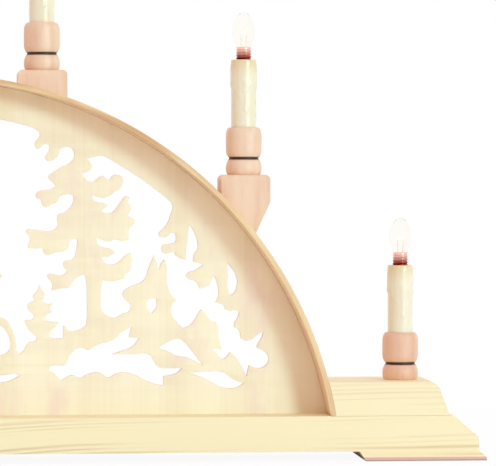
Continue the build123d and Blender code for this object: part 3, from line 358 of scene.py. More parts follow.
def lamp_glass():
    """Thin clear glass with a trace of warmth."""
    skin = Finish("Clear lamp glass", 0.0, Transmission_Weight=1.0, IOR=1.14)
    haze = skin.noise(skin.place(), 90.0, 2.0)
    skin.colour(skin.mix(haze, (1.0, 0.998, 0.99), (1.0, 0.985, 0.97)))
    return skin.material


def lit_wire(name, strength):
    """Wire that glows: the filament, which is the lamp, and the stem wires, where the bulb's light on
    them is painted as a glow.
    """
    skin = Finish(name, 0.5, Emission_Color=linear(LAMP_LIGHT), Emission_Strength=strength)
    grey = skin.noise(skin.place(), 2000.0, 2.0)
    skin.colour(skin.mix(grey, (0.6, 0.5, 0.4), (0.8, 0.65, 0.45)))
    return skin.material


plywood = birch_plywood()
pine = planed_pine("Planed pine, plinth", (-0.055, -0.02), 0.0032, 0.035, (0.3, 0.1, 0.2))
pine_left = planed_pine("Planed pine, left", (0.06, -0.03), 0.0034, -0.035, (1.7, 0.4, 0.9))
pine_right = planed_pine("Planed pine, right", (-0.06, 0.12), 0.0036, 0.01, (2.9, 1.3, 0.4))
pine_feet = planed_pine("Planed pine, feet", (0.09, 0.02), 0.0035, -0.01, (4.1, 2.2, 1.6), 2.6 * MM)
turned_beech = sanded_beech("Turned beech", (0, 0, 1), BEECH_PALE, BEECH_DARK, charred=True)
pink_beech = sanded_beech("Turned beech, pinker", (0, 0, 1), BEECH_PINK, BEECH_RUST, charred=True)
block_beech = sanded_beech("Sawn beech", (0, 0, 1), BEECH_PALE, BEECH_DARK)
hoop_beech = bent_beech()
ivory = candle_plastic()
porcelain = moulded_plastic("White socket plastic", PORCELAIN)
clip_white = moulded_plastic("Off-white clip plastic", CLIP_WHITE, 0.5)
insulation = moulded_plastic("Lead insulation", INSULATION, 0.55)
brass = metal("Bare brass", BRASS, BRASS_STAIN, 0.3)
# Painted light on the cap: reflection streaks along it, and the bulb's glow towards its top
cap_metal = metal("Red brass lamp cap", CAP_RED, CAP_STREAK_REFLECTION, 0.3, (420, 420, 60), CAP_GLOW)
solder = metal("Solder", SOLDER, STEEL_STAIN, 0.4)
steel = metal("Zinc-plated steel", STEEL, STEEL_STAIN, 0.33)
board = hardboard()
glass = lamp_glass()
filament_glow = lit_wire("Glowing filament", 2.0)
# Painted light: the bulb's light on the stem wires, painted on as a glow
stem_shine = lit_wire("Stem wire in the light", 0.6)


def dress(names, material):
    """Gives CAD nodes their finish."""
    for name in names:
        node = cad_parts[name]
        node.data.materials.clear()
        node.data.materials.append(material)


def piece(name, data, material, body="arch", replaces=(), at=(0, 0, 0)):
    """A finished mesh as an object at the origin, with its place in its mesh."""
    mesh = data.copy()
    mesh.name = name
    mesh.transform(Matrix.Translation(at))
    if material:
        mesh.materials.clear()
        mesh.materials.append(material)
    made = bpy.data.objects.new(name, mesh)
    scene.collection.objects.link(made)
    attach(made, body)
    if replaces:
        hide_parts(*replaces)
    return made


def arc(centre, radii, first, last, steps):
    """Points of a quarter round in a (radius, height) profile; degrees from outwards."""
    angles = [math.radians(first + (last - first) * step / steps) for step in range(steps + 1)]
    return [(centre[0] + radii[0] * math.cos(a), centre[1] + radii[1] * math.sin(a)) for a in angles]


def smooth_run(points, steps):
    """A smooth run through points that bends like a lath held at each of them."""
    ends = [points[0], *points, points[-1]]
    run = []
    for a, b, c, d in zip(ends, ends[1:], ends[2:], ends[3:]):
        for step in range(steps):
            t = step / steps
            run.append(tuple(
                0.5 * (2 * q + (r - p) * t + (2 * p - 5 * q + 4 * r - s) * t ** 2
                       + (3 * q - p - 3 * r + s) * t ** 3)
                for p, q, r, s in zip(a, b, c, d)))
    return run + [points[-1]]


def revolve(name, profile, steps, swell=None, sharp=38):
    """A turned mesh from (radius, height) points in millimetres.

    A profile that doesn't run from pole to pole is closed on itself. swell(angle, radius,
    height) gives a changed radius. Corners sharper than sharp degrees stay crisp."""
    mesh = bmesh.new()
    rings = []
    for radius, height in profile:
        if not radius:
            rings.append([mesh.verts.new((0, 0, height * MM))])
            continue
        ring = []
        for step in range(steps):
            angle = 2 * math.pi * step / steps
            reach = swell(angle, radius, height) if swell else radius
            ring.append(mesh.verts.new((reach * MM * math.cos(angle), reach * MM * math.sin(angle),
                                        height * MM)))
        rings.append(ring)
    pairs = list(zip(rings, rings[1:]))
    if len(rings[0]) > 1:
        pairs.append((rings[-1], rings[0]))
    for below, above in pairs:
        if len(below) + len(above) == 2:
            continue
        for step in range(steps):
            after = (step + 1) % steps
            corners = [below[step % len(below)], below[after % len(below)],
                       above[after % len(above)], above[step % len(above)]]
            mesh.faces.new(list(dict.fromkeys(corners)))
    bmesh.ops.recalc_face_normals(mesh, faces=mesh.faces)
    return finished(mesh, name, sharp)


def finished(mesh, name, sharp):
    """The mesh data, smooth except at corners sharper than sharp degrees."""
    for edge in mesh.edges:
        edge.smooth = edge.calc_face_angle(0) < math.radians(sharp)
    for face in mesh.faces:
        face.smooth = True
    data = bpy.data.meshes.new(name)
    mesh.to_mesh(data)
    mesh.free()
    return data


def tell(data, name, share):
    """Stores share(vertex) as an attribute that the finishes read."""
    attribute = data.attributes.new(name, "FLOAT", "POINT")
    attribute.data.foreach_set("value", [share(vertex) for vertex in data.vertices])


def held(value):
    return max(0.0, min(1.0, value))


# The candle holders: bead, burnt groove and cup; heights in millimetres above the seat
BEAD_TOP = 9.6
CUP_BOTTOM = 10.6
CUP_TOP = 29.1
CUP_FLOOR = 12.1
GROOVE_RADIUS = 9.0
CUP_BORE = 7.8
CHAR_REACH = 1.2
CHAR_FADE = 0.6
SPIGOT_RUN = [(0, -4), (7.2, -4), (7.5, -3.7), (7.5, 0), (9.9, 0)]
BEAD_RUN = [(10.15, 0.2), (10.7, 1.5), (10.97, 3.2), (10.95, 5.0), (10.6, 6.8), (10.0, 8.4), (9.3, 9.5)]
CUP_RUN = [(9.3, 10.7), (10.05, 11.6), (10.6, 12.9), (10.93, 14.7), (11.0, 17.5), (11.0, 22.2),
           (10.93, 24.8), (10.6, 26.7), (10.0, 28.1), (9.3, 28.9)]


def holder_mesh():
    profile = SPIGOT_RUN + smooth_run(BEAD_RUN, 3)
    profile += [(GROOVE_RADIUS, BEAD_TOP + 0.1), (GROOVE_RADIUS, CUP_BOTTOM - 0.1)]
    profile += smooth_run(CUP_RUN, 3)
    profile += [(CUP_BORE + 0.5, CUP_TOP), (CUP_BORE, CUP_TOP - 0.5), (CUP_BORE, CUP_FLOOR),
                (0, CUP_FLOOR)]
    data = revolve("turned holder", profile, 96)
    groove = (BEAD_TOP + CUP_BOTTOM) / 2

    def char(vertex):
        away = abs(vertex.co.z / MM - groove)
        outside = vertex.co.xy.length / MM > CUP_BORE + 0.2
        return held((CHAR_REACH - away) / CHAR_FADE) * outside

    tell(data, "char", char)
    return data


# The candle sleeves: soft drips of wax, moulded in one with the sleeve, under a crisp rim
SLEEVE_TOP = 70.6
SLEEVE_RADIUS = 7.7
SLEEVE_BORE = 6.4
MOUTH = 5.3
SKIRT = 0.16
SKIRT_END = 17.5
WAX_LIMIT = 0.8
WAX_START = 0.8
WAX_END = 42
WARM_REACH = 11
# Each drip: degrees round the sleeve from its front, half width, length below the top, height
DRIPS = [
    (-4, 1.9, 14.0, 0.24), (3, 1.5, 21.0, 0.26), (5, 1.2, 33.0, 0.30), (38, 1.5, 17.0, 0.2),
    (64, 2.0, 12.5, 0.26), (90, 2.4, 18.5, 0.5), (122, 1.8, 21.5, 0.34), (149, 1.3, 31.0, 0.3),
    (178, 2.2, 18.0, 0.4), (209, 1.4, 27.0, 0.3), (236, 1.9, 15.5, 0.34), (268, 2.6, 17.5, 0.55),
    (304, 1.8, 20.0, 0.24), (334, 1.5, 24.0, 0.16),
]


def wax_swell(angle, radius, height):
    """Radius of the sleeve with its drips, at a point of its outer face."""
    down = SLEEVE_TOP - height
    if radius < SLEEVE_RADIUS - 0.1 or down > WAX_END or down < WAX_START:
        return radius
    front = math.degrees(angle) + 90
    wave = math.sin(math.radians(3 * front)) + 0.7 * math.sin(math.radians(5 * front + 40))
    lip = held((SKIRT_END + 1.5 * wave - down) / 4)
    drop = 0.0
    for spot, half, length, rise in DRIPS:
        side = math.radians((front - spot + 180) % 360 - 180) * SLEEVE_RADIUS / half
        near = math.exp(-((down - length + 1.6) / 2.4) ** 2)
        belly = 1 + 0.25 * near
        end = (down - length) / (half * belly) + 1
        across = (side / belly) ** 2 + max(0.0, end) ** 2
        if across < 1:
            drop = max(drop, rise * (0.55 + 0.6 * near) * held(down / 6)
                       * (1 - across) ** (1.3 - 0.6 * near))
    shoulder = held((down - WAX_START) / 2.5)
    return radius + shoulder * min(SKIRT * lip * lip * (3 - 2 * lip) + drop, WAX_LIMIT)


def sleeve_mesh():
    profile = [(SLEEVE_BORE, CUP_FLOOR), (SLEEVE_RADIUS, CUP_FLOOR), (SLEEVE_RADIUS, CUP_TOP - 1)]
    profile += [(SLEEVE_RADIUS, CUP_TOP + 0.45 * step) for step in range(90)]
    profile += arc((SLEEVE_RADIUS - 0.7, SLEEVE_TOP - 0.7), (0.7, 0.7), 4, 90, 6)
    profile += [(MOUTH + 0.2, SLEEVE_TOP - 0.05), (MOUTH, SLEEVE_TOP - 0.3),
                (MOUTH, SLEEVE_TOP - 1.2), (SLEEVE_BORE, SLEEVE_TOP - 1.2)]
    data = revolve("wax sleeve", profile, 144, wax_swell, 60)
    tell(data, "warm", lambda vertex: held(1 - (SLEEVE_TOP - vertex.co.z / MM) / WARM_REACH))
    return data


# The bulbs: threaded cap with its solder tip, clear glass, stem wires and the lit filament
CAP_RIM = 78.4
CAP_NOSE = 62.9
CAP_ROOT = 4.25
CAP_WALL = 0.35
DARK_RIM = 1.5
THREAD_PITCH = 1.81
THREAD_DEPTH = 0.46
THREAD_START = 64.6
TIP_END = 61.7
BULB_TOP = 99.6
GLASS_WALL = 0.45
STEM_FOOT = 63.9
STEM_TOP = 86.4
STEM_SPREAD = 1.6


def thread_swell(angle, radius, height):
    """The cap's rolled thread: one ridge that climbs a pitch each turn."""
    if radius != CAP_ROOT:
        return radius
    wave = 0.5 + 0.5 * math.cos(2 * math.pi * height / THREAD_PITCH - angle)
    run_out = held(min(height - THREAD_START, (CAP_RIM - 0.6 - height) / 0.8))
    return CAP_ROOT + THREAD_DEPTH * (wave * run_out + 0.5 * (1 - run_out))


def cap_mesh():
    turns = [(CAP_ROOT, THREAD_START + 0.15 * step) for step in range(90)]
    profile = [(0, CAP_NOSE - 0.02), (2.2, CAP_NOSE), (2.6, CAP_NOSE + 0.15),
               (4.0, THREAD_START - 0.3)]
    profile += turns
    profile += [(4.62, CAP_RIM - 0.3), (4.74, CAP_RIM - 0.12), (4.66, CAP_RIM), (4.1, CAP_RIM)]
    bore = CAP_ROOT - CAP_WALL
    profile += [(bore, CAP_RIM - 0.25), (bore, THREAD_START), (2.2, CAP_NOSE + 0.8),
                (0, CAP_NOSE + 0.8)]
    data = revolve("threaded cap", profile, 72, thread_swell, 60)
    shown = CAP_RIM - SLEEVE_TOP
    # Share of the painted glow: none up to DARK_RIM above the sleeve top, full at the cap's rim
    tell(data, "glow", lambda vertex: held((vertex.co.z / MM - SLEEVE_TOP - DARK_RIM) / shown))
    return data


def tip_mesh():
    profile = [(0, TIP_END), (0.9, TIP_END + 0.08), (1.4, TIP_END + 0.35), (1.58, TIP_END + 0.8),
               (1.6, CAP_NOSE - 0.01), (0, CAP_NOSE - 0.01)]
    return revolve("solder tip", profile, 40)


def glass_mesh():
    half = [(4.5, CAP_RIM + 0.02), (4.6, CAP_RIM + 0.8), (5.45, CAP_RIM + 3.1),
            (6.4, CAP_RIM + 6.0), (6.78, CAP_RIM + 9.2), (6.5, CAP_RIM + 12.6),
            (5.7, CAP_RIM + 15.6), (4.4, CAP_RIM + 18.2), (2.6, BULB_TOP - 0.85),
            (1.2, BULB_TOP - 0.16)]
    outer = smooth_run(half, 6)
    inner = [(r - GLASS_WALL, z - GLASS_WALL * held((z - CAP_RIM) / (BULB_TOP - CAP_RIM)))
             for r, z in outer[::-1]]
    return revolve("lamp glass", outer + [(0, BULB_TOP), (0, BULB_TOP - GLASS_WALL)] + inner, 72)


# What repeats or follows a path is grown by node trees
class Growth(Nodes):
    """A Geometry Nodes tree with its named sizes."""

    kinds = "GeometryNode"

    def __init__(self, name, geometry=False, **sizes):
        self.tree = bpy.data.node_groups.new(name, "GeometryNodeTree")
        face = self.tree.interface
        face.new_socket("Geometry", in_out="OUTPUT", socket_type="NodeSocketGeometry")
        if geometry:
            face.new_socket("Geometry", in_out="INPUT", socket_type="NodeSocketGeometry")
        self.sizes = {size.replace("_", " "): value for size, value in sizes.items()}
        for size, value in self.sizes.items():
            kind = {int: "Int", float: "Float"}.get(type(value), "Material")
            face.new_socket(size, in_out="INPUT", socket_type="NodeSocket" + kind)
        self.given = self.node("NodeGroupInput").outputs
        self.result = self.node("NodeGroupOutput").inputs[0]

    def end(self, geometry):
        """Closes the tree: instances made real, and the finish set."""
        real = self.node("RealizeInstances", geometry).outputs[0]
        dressed = self.node("SetMaterial", real, named={"Material": self.given["Material"]})
        self.feed(self.result, dressed.outputs[0])

    def less(self, first, *others, operation="DIFFERENCE"):
        """The first solid with the others taken from it, or joined or crossed with it."""
        for other in others:
            cut = self.node("MeshBoolean", first, operation=operation, solver="EXACT")
            self.feed(cut.inputs[1], other)
            first = cut.outputs[0]
        return first

    def moved(self, geometry, move=(0, 0, 0), turn=(0, 0, 0)):
        """A copy of the geometry in another place."""
        named = {"Translation": move, "Rotation": turn}
        return self.node("Transform", geometry, named=named).outputs[0]

    def grow(self, name, start=None, **changes):
        """The tree's result as a plain mesh."""
        seed = bpy.data.objects.new(name, start or bpy.data.meshes.new(name))
        scene.collection.objects.link(seed)
        modifier = seed.modifiers.new(self.tree.name, "NODES")
        modifier.node_group = self.tree
        sizes = {**self.sizes, **{size.replace("_", " "): value for size, value in changes.items()}}
        for item in self.tree.interface.items_tree:
            if item.in_out == "INPUT" and item.name in sizes:
                modifier[item.identifier] = sizes[item.name]
        bpy.context.view_layer.update()
        whole = seed.evaluated_get(bpy.context.evaluated_depsgraph_get())
        data = bpy.data.meshes.new_from_object(whole)
        seed.modifiers.remove(modifier)
        bpy.data.objects.remove(seed)
        return data


def coil_tree():
    """A wound filament: a helix bent into a low arch between the two stem wires."""
    tree = Growth("Wound filament", Turns=22.0, Span=2 * STEM_SPREAD * MM, Coil_radius=0.28 * MM,
                  Wire_radius=0.075 * MM, Arch_height=1.6 * MM, Material=filament_glow)
    helix = tree.node("CurveSpiral", named={
        "Resolution": 12, "Rotations": tree.given["Turns"], "Start Radius": tree.given["Coil radius"],
        "End Radius": tree.given["Coil radius"], "Height": tree.given["Span"]}).outputs[0]
    x, y, z = tree.node("ShaderNodeSeparateXYZ", tree.node("InputPosition").outputs[0]).outputs
    along = tree.sum("DIVIDE", z, tree.given["Span"])
    rise = tree.sum("MULTIPLY", tree.sum("SINE", tree.sum("MULTIPLY", along, math.pi)),
                    tree.given["Arch height"])
    left = tree.sum("SUBTRACT", z, tree.sum("MULTIPLY", tree.given["Span"], 0.5))
    bent = tree.node("SetPosition", helix, named={
        "Position": tree.point(left, y, tree.sum("ADD", rise, x))}).outputs[0]
    wire = tree.node("CurvePrimitiveCircle", named={
        "Resolution": 6, "Radius": tree.given["Wire radius"]}).outputs[0]
    tree.end(tree.node("CurveToMesh", bent, wire, named={"Fill Caps": True}).outputs[0])
    return tree


def stem_tree():
    """Wires that stand on the points given."""
    tree = Growth("Stem wires", geometry=True, Wire_radius=0.2 * MM,
                  Height=(STEM_TOP - STEM_FOOT) * MM, Material=stem_shine)
    wire = tree.node("MeshCylinder", named={
        "Vertices": 16, "Radius": tree.given["Wire radius"], "Depth": tree.given["Height"]}).outputs[0]
    lift = tree.point(0.0, 0.0, tree.sum("MULTIPLY", tree.given["Height"], 0.5))
    tree.end(tree.node("InstanceOnPoints", tree.given["Geometry"], named={
        "Instance": tree.moved(wire, lift)}).outputs[0])
    return tree


HEAD_HEIGHT = 0.9 * MM


def screw_tree(slots):
    """Screws set head up at the points of a mesh, each turned a little further, with a slot
    or a cross cut in the head. A sunk head is a cone that widens up to the face."""
    tree = Growth(f"Screws with {slots} cuts", geometry=True, Head_radius=2.2 * MM,
                  Face_radius=1.6 * MM, Head_height=HEAD_HEIGHT, Shank_radius=1.1 * MM,
                  Shank_length=8.0 * MM, Cut_width=0.55 * MM, Cut_length=2.6 * MM,
                  Cut_depth=0.5 * MM, Turn=0.9, Material=steel)
    given = tree.given
    head = tree.node("MeshCone", named={
        "Vertices": 40, "Radius Top": given["Face radius"], "Radius Bottom": given["Head radius"],
        "Depth": given["Head height"]}).outputs[0]
    size = tree.point(given["Cut length"], given["Cut width"],
                      tree.sum("MULTIPLY", given["Cut depth"], 2.0))
    bar = tree.node("MeshCube", size).outputs[0]
    face = tree.point(0.0, 0.0, given["Head height"])
    bars = [tree.moved(bar, face, (0, 0, cut * math.pi / slots)) for cut in range(slots)]
    shank = tree.node("MeshCylinder", named={
        "Vertices": 24, "Radius": given["Shank radius"], "Depth": given["Shank length"]}).outputs[0]
    down = tree.point(0.0, 0.0, tree.sum("MULTIPLY", given["Shank length"], -0.5))
    whole = tree.node("JoinGeometry", tree.less(head, *bars))
    tree.feed(whole.inputs[0], tree.moved(shank, down))
    spin = tree.sum("MULTIPLY", tree.node("InputIndex").outputs[0], given["Turn"])
    turned = tree.node("FunctionNodeAxisAngleToRotation", (0, 0, 1), spin).outputs[0]
    tree.end(tree.node("InstanceOnPoints", given["Geometry"], named={
        "Instance": whole.outputs[0], "Rotation": turned}).outputs[0])
    return tree


def round_the_hoop(tree):
    """Each point's angle from the top of the hoop, as a turn about Y."""
    x, y, z = tree.node("ShaderNodeSeparateXYZ", tree.node("InputPosition").outputs[0]).outputs
    angle = tree.sum("ARCTAN2", x, tree.sum("SUBTRACT", z, hoop_centre_z))
    return tree.node("FunctionNodeAxisAngleToRotation", (0, 1, 0), angle).outputs[0]


def clip_tree():
    """Saddle clips under the hoop: a strap with two feet over the lead that it holds."""
    tree = Growth("Lead clips", geometry=True, Length=4 * MM, Width=5 * MM, Wall=0.7 * MM,
                  Bed=0.95 * MM, Lead_radius=0.85 * MM, Material=clip_white)
    given = tree.given
    foot = tree.node("MeshCube", tree.point(given["Length"], given["Width"], given["Wall"])).outputs[0]
    foot = tree.moved(foot, tree.point(0.0, 0.0, tree.sum("MULTIPLY", given["Wall"], -0.5)))
    lowest = tree.sum("MULTIPLY", given["Bed"], -1.0)

    def along(radius):
        bar = tree.node("MeshCylinder", named={
            "Vertices": 40, "Radius": radius, "Depth": given["Length"]}).outputs[0]
        return tree.moved(bar, tree.point(0.0, 0.0, lowest), (0, math.pi / 2, 0))

    saddle = along(tree.sum("ADD", given["Lead radius"], given["Wall"]))
    block = tree.node("MeshCube", tree.point(given["Width"], given["Width"], given["Width"])).outputs[0]
    above = tree.moved(block, tree.point(0.0, 0.0, tree.sum("MULTIPLY", given["Width"], 0.5)))
    bore = tree.node("MeshCylinder", named={
        "Vertices": 40, "Radius": given["Lead radius"],
        "Depth": tree.sum("MULTIPLY", given["Length"], 2.0)}).outputs[0]
    bore = tree.moved(bore, tree.point(0.0, 0.0, lowest), (0, math.pi / 2, 0))
    whole = tree.less(tree.less(saddle, foot, operation="UNION"), above, bore)
    tree.end(tree.node("InstanceOnPoints", given["Geometry"], named={
        "Instance": whole, "Rotation": round_the_hoop(tree)}).outputs[0])
    return tree


def hoop_tree():
    """The bent hoop: a strip with softly broken edges swept round an arc, cut off level at
    its foot, with narrower tenons below and a lead hole at each point that it is given."""
    tree = Growth("Bent hoop", geometry=True, Radius=HOOP_RADIUS, Thickness=HOOP_THICKNESS,
                  Depth=hoop_high.y - hoop_low.y, Foot=base_high.z, Tenon_end=hoop_low.z,
                  Tenon_depth=40 * MM, Edge=0.35 * MM, Hole_radius=3 * MM, Material=hoop_beech)
    given = tree.given
    middle = tree.sum("SUBTRACT", given["Radius"], tree.sum("MULTIPLY", given["Thickness"], 0.5))
    arch = tree.node("CurveArc", mode="RADIUS", named={
        "Resolution": 180, "Radius": middle, "Start Angle": math.radians(4),
        "Sweep Angle": math.radians(172)}).outputs[0]

    def strip(depth):
        section = tree.node("CurvePrimitiveQuadrilateral", named={
            "Width": given["Thickness"], "Height": depth}).outputs[0]
        section = tree.node("FilletCurve", section, mode="POLY", named={
            "Count": 3, "Radius": given["Edge"]}).outputs[0]
        swept = tree.node("CurveToMesh", arch, section, named={"Fill Caps": True}).outputs[0]
        return tree.moved(swept, (0, 0, hoop_centre_z), (math.pi / 2, 0, 0))

    wide = tree.sum("MULTIPLY", given["Radius"], 3.0)
    block = tree.node("MeshCube", tree.point(wide, wide, wide)).outputs[0]
    half = tree.sum("MULTIPLY", wide, 0.5)

    def below(height):
        return tree.moved(block, tree.point(0.0, 0.0, tree.sum("SUBTRACT", height, half)))

    above = tree.moved(block, tree.point(0.0, 0.0, tree.sum("ADD", given["Foot"], half)))
    drill = tree.node("MeshCylinder", named={
        "Vertices": 40, "Radius": given["Hole radius"], "Depth": 60 * MM}).outputs[0]
    holes = tree.node("RealizeInstances", tree.node("InstanceOnPoints", given["Geometry"], named={
        "Instance": drill}).outputs[0]).outputs[0]
    hoop = tree.less(strip(given["Depth"]), below(given["Foot"]), holes)
    tenons = tree.less(strip(given["Tenon depth"]), below(given["Tenon end"]), above)
    whole = tree.node("JoinGeometry", hoop)
    tree.feed(whole.inputs[0], tenons)
    tree.end(whole.outputs[0])
    return tree


def spots(name, places):
    """Loose points for a tree to set its pieces on."""
    data = bpy.data.meshes.new(name)
    data.from_pydata(places, [], [])
    return data


def solids(node):
    """The lowest and highest corner of each solid of a CAD node."""
    mesh = bmesh.new()
    mesh.from_mesh(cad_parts[node].data)
    bmesh.ops.remove_doubles(mesh, verts=mesh.verts, dist=1e-6)
    left = dict.fromkeys(mesh.verts)
    found = []
    while left:
        group = [left.popitem()[0]]
        for here in group:
            for edge in here.link_edges:
                there = edge.other_vert(here)
                if there in left:
                    del left[there]
                    group.append(there)
        sides = list(zip(*(vert.co for vert in group)))
        found.append([Vector(map(end, sides)) for end in (min, max)])
    mesh.free()
    return found


# The fretwork: the CAD panel's outlines with smooth saw cuts, and softly broken edges
FRET_EDGE = 0.15 * MM
TIP_TURN = math.radians(80)
CORNER_TURN = math.radians(42)


def outlines(node):
    """The closed outlines of a CAD panel's front face, as runs of (x, z)."""
    mesh = bmesh.new()
    mesh.from_mesh(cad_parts[node].data)
    bmesh.ops.remove_doubles(mesh, verts=mesh.verts, dist=1e-6)
    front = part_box(node)[0].y
    faces = dict.fromkeys(face for face in mesh.faces
                          if all(abs(v.co.y - front) < 1e-6 for v in face.verts))
    after = {}
    for face in faces:
        for loop in face.loops:
            if sum(other in faces for other in loop.edge.link_faces) == 1:
                after[loop.vert] = loop.link_loop_next.vert
    runs = []
    while after:
        here, there = after.popitem()
        run = [here]
        while there is not run[0]:
            run.append(there)
            there = after.pop(there)
        runs.append([Vector((v.co.x, v.co.z)) for v in run])
    mesh.free()
    return runs


def turns(run):
    """How sharply a closed run turns at each of its points."""
    return [(here - before).angle(there - here, 0) for before, here, there in
            zip(run[-1:] + run[:-1], run, run[1:] + run[:1])]


def straightened(run):
    """A closed run without the points in its straight stretches."""
    return [here for here, turn in zip(run, turns(run)) if turn > math.radians(0.4)]


def pointed(run):
    """A closed run whose tips, cut off in the CAD solid, come to a point again."""
    angles = turns(run)
    tips = []
    skip = False
    for spot, here in enumerate(run):
        if skip:
            skip = False
            continue
        there = run[(spot + 1) % len(run)]
        both = angles[spot] + angles[(spot + 1) % len(run)]
        if spot + 1 < len(run) and both > TIP_TURN and angles[spot] > CORNER_TURN:
            beyond = run[(spot + 2) % len(run)]
            meet = intersect_line_line_2d(run[spot - 1], here + 3 * (here - run[spot - 1]),
                                          beyond, there + 3 * (there - beyond))
            if meet:
                tips.append(meet)
                skip = True
                continue
        tips.append(here)
    return tips


def sawn(run, steps):
    """A closed run drawn smooth through its points, except at its corners."""
    corners = [turn > CORNER_TURN for turn in turns(run)]
    drawn = []
    count = len(run)
    for spot in range(count):
        here, there = run[spot], run[(spot + 1) % count]
        span = (there - here).length
        lean = []
        for at in (spot, (spot + 1) % count):
            before, after = run[at - 1], run[(at + 1) % count]
            if corners[at]:
                lean.append(there - here)
                continue
            back, on = run[at] - before, after - run[at]
            way = back.normalized() * on.length + on.normalized() * back.length
            lean.append(way.normalized() * min(span, 1.5 * min(back.length, on.length)))
        for step in range(steps):
            t = step / steps
            drawn.append((2 * t ** 3 - 3 * t ** 2 + 1) * here + (t ** 3 - 2 * t ** 2 + t) * lean[0]
                         + (3 * t ** 2 - 2 * t ** 3) * there + (t ** 3 - t ** 2) * lean[1])
    return drawn


def fretted_mesh(node):
    """The panel cut out along its smooth outlines."""
    low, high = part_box(node)
    flat = bpy.data.curves.new("fretted outline", "CURVE")
    flat.dimensions = "2D"
    flat.fill_mode = "BOTH"
    flat.extrude = (high.y - low.y) / 2 - FRET_EDGE
    flat.bevel_depth = FRET_EDGE
    flat.bevel_resolution = 1
    flat.offset = -FRET_EDGE
    for run in outlines(node):
        points = sawn(pointed(straightened(run)), 4)
        spline = flat.splines.new("POLY")
        spline.points.add(len(points) - 1)
        spline.points.foreach_set("co", [c for p in points for c in (p.x, p.y, 0, 1)])
        spline.use_cyclic_u = True
    drawn = bpy.data.objects.new("fretted outline", flat)
    data = bpy.data.meshes.new_from_object(drawn)
    bpy.data.objects.remove(drawn)
    bpy.data.curves.remove(flat)
    middle = (low.y + high.y) / 2
    data.transform(Matrix.Translation((0, middle, 0)) @ Matrix.Rotation(math.pi / 2, 4, "X"))
    mesh = bmesh.new()
    mesh.from_mesh(data)
    bmesh.ops.remove_doubles(mesh, verts=mesh.verts, dist=1e-6)
    bmesh.ops.recalc_face_normals(mesh, faces=mesh.faces)
    return finished(mesh, "fretwork", 30)


# The pieces
dress(["base_board"], pine)
dress(["podium_left"], pine_left)
dress(["podium_right"], pine_right)
dress(["foot_left", "foot_right"], pine_feet)
dress([f"block_{side}_{level}" for side in ("left", "right") for level in ("high", "low")],
      block_beech)
dress(["channel_cover"], board)
dress([f"lamp_socket_{lamp}" for lamp in LAMPS] + ["terminal_block", "cable_bush"], porcelain)
dress([f"contact_plunger_{lamp}" for lamp in LAMPS] + ["socket_shells"], brass)
dress(["lamp_leads"], insulation)

piece("fretwork", fretted_mesh("fretwork_panel"), plywood,
      replaces=["fretwork_panel"])

upper_lamps = [seat for seat in seats.values() if seat.z > 2 * base_high.z]
lead_y = sum(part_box("lead_clips"), Vector()).y / 2
drilled = spots("lead holes", [(seat.x, lead_y, seat.z) for seat in upper_lamps])
piece("bent_hoop", hoop_tree().grow("bent hoop", drilled), None,
      replaces=["arch_hoop"])

clipped = []
for low, high in solids("lead_clips"):
    middle = (low + high) / 2
    way = Vector((middle.x, 0, middle.z - hoop_centre_z)).normalized()
    clipped.append(way * (HOOP_RADIUS - HOOP_THICKNESS) + Vector((0, middle.y, hoop_centre_z)))
piece("saddle_clips", clip_tree().grow("saddle clips", spots("clip places", clipped)), None,
      replaces=["lead_clips"])

crossed = screw_tree(2)
slotted = screw_tree(1)
for name, node, tree, slot, sizes in (
        ("countersunk_screws", "foot_screws", crossed, "steel", {
            "Head_radius": 1.75 * MM, "Face_radius": 3.6 * MM, "Head_height": 1.85 * MM,
            "Shank_radius": 1.75 * MM, "Shank_length": 36.1 * MM, "Cut_length": 4.0 * MM,
            "Cut_width": 0.8 * MM, "Cut_depth": 1.1 * MM}),
        ("pan_head_screws", "cover_screws", crossed, "steel", {"Shank_length": 8.0 * MM}),
        ("terminal_pole_screws", "terminal_screws", slotted, "brass", {
            "Head_radius": 1.6 * MM, "Face_radius": 1.45 * MM, "Head_height": 0.7 * MM,
            "Shank_radius": 1.2 * MM, "Shank_length": 4.2 * MM, "Cut_length": 4.0 * MM,
            "Cut_width": 0.5 * MM, "Material": brass})):
    height = sizes.get("Head_height", HEAD_HEIGHT)
    heads = [(middle.x, -middle.y, -low.z - height) for low, high in solids(node)
             for middle in [(low + high) / 2]]
    screws = tree.grow(name, spots(name, heads), **sizes)
    screws.transform(Matrix.Rotation(math.pi, 4, "X"))
    piece(name, screws, None, replaces=[node])

PINK_HOLDERS = (1, 3, 6)
holder = holder_mesh()
sleeve = sleeve_mesh()
cap = cap_mesh()
tip = tip_mesh()
bulb = glass_mesh()
filament = coil_tree().grow("filament")
filament.transform(Matrix.Translation((0, 0, STEM_TOP * MM)))
stems = stem_tree().grow("stem wires", spots("stem feet", [
    (side * STEM_SPREAD * MM, 0, STEM_FOOT * MM) for side in (-1, 1)]))
for lamp, seat in seats.items():
    body = f"bulb_{lamp}"
    piece(f"turned_holder_{lamp}", holder, pink_beech if lamp in PINK_HOLDERS else turned_beech,
          at=seat, replaces=[f"candle_holder_{lamp}"])
    piece(f"wax_sleeve_{lamp}", sleeve, ivory, at=seat,
          replaces=[f"candle_sleeve_{lamp}"])
    piece(f"threaded_cap_{lamp}", cap, cap_metal, body, [f"bulb_cap_{lamp}"], seat)
    piece(f"solder_tip_{lamp}", tip, solder, body, at=seat)
    piece(f"lamp_glass_{lamp}", bulb, glass, body, [f"bulb_glass_{lamp}"], seat)
    piece(f"filament_{lamp}", filament, None, body, at=seat)
    piece(f"stem_wires_{lamp}", stems, None, body, at=seat)

# The floor: pale, ending a little behind the arch
FLOOR_NEAR = -1.6
FLOOR_FAR = 0.42
FLOOR_HALF = 1.5
FLOOR_SHOWN = 0.93


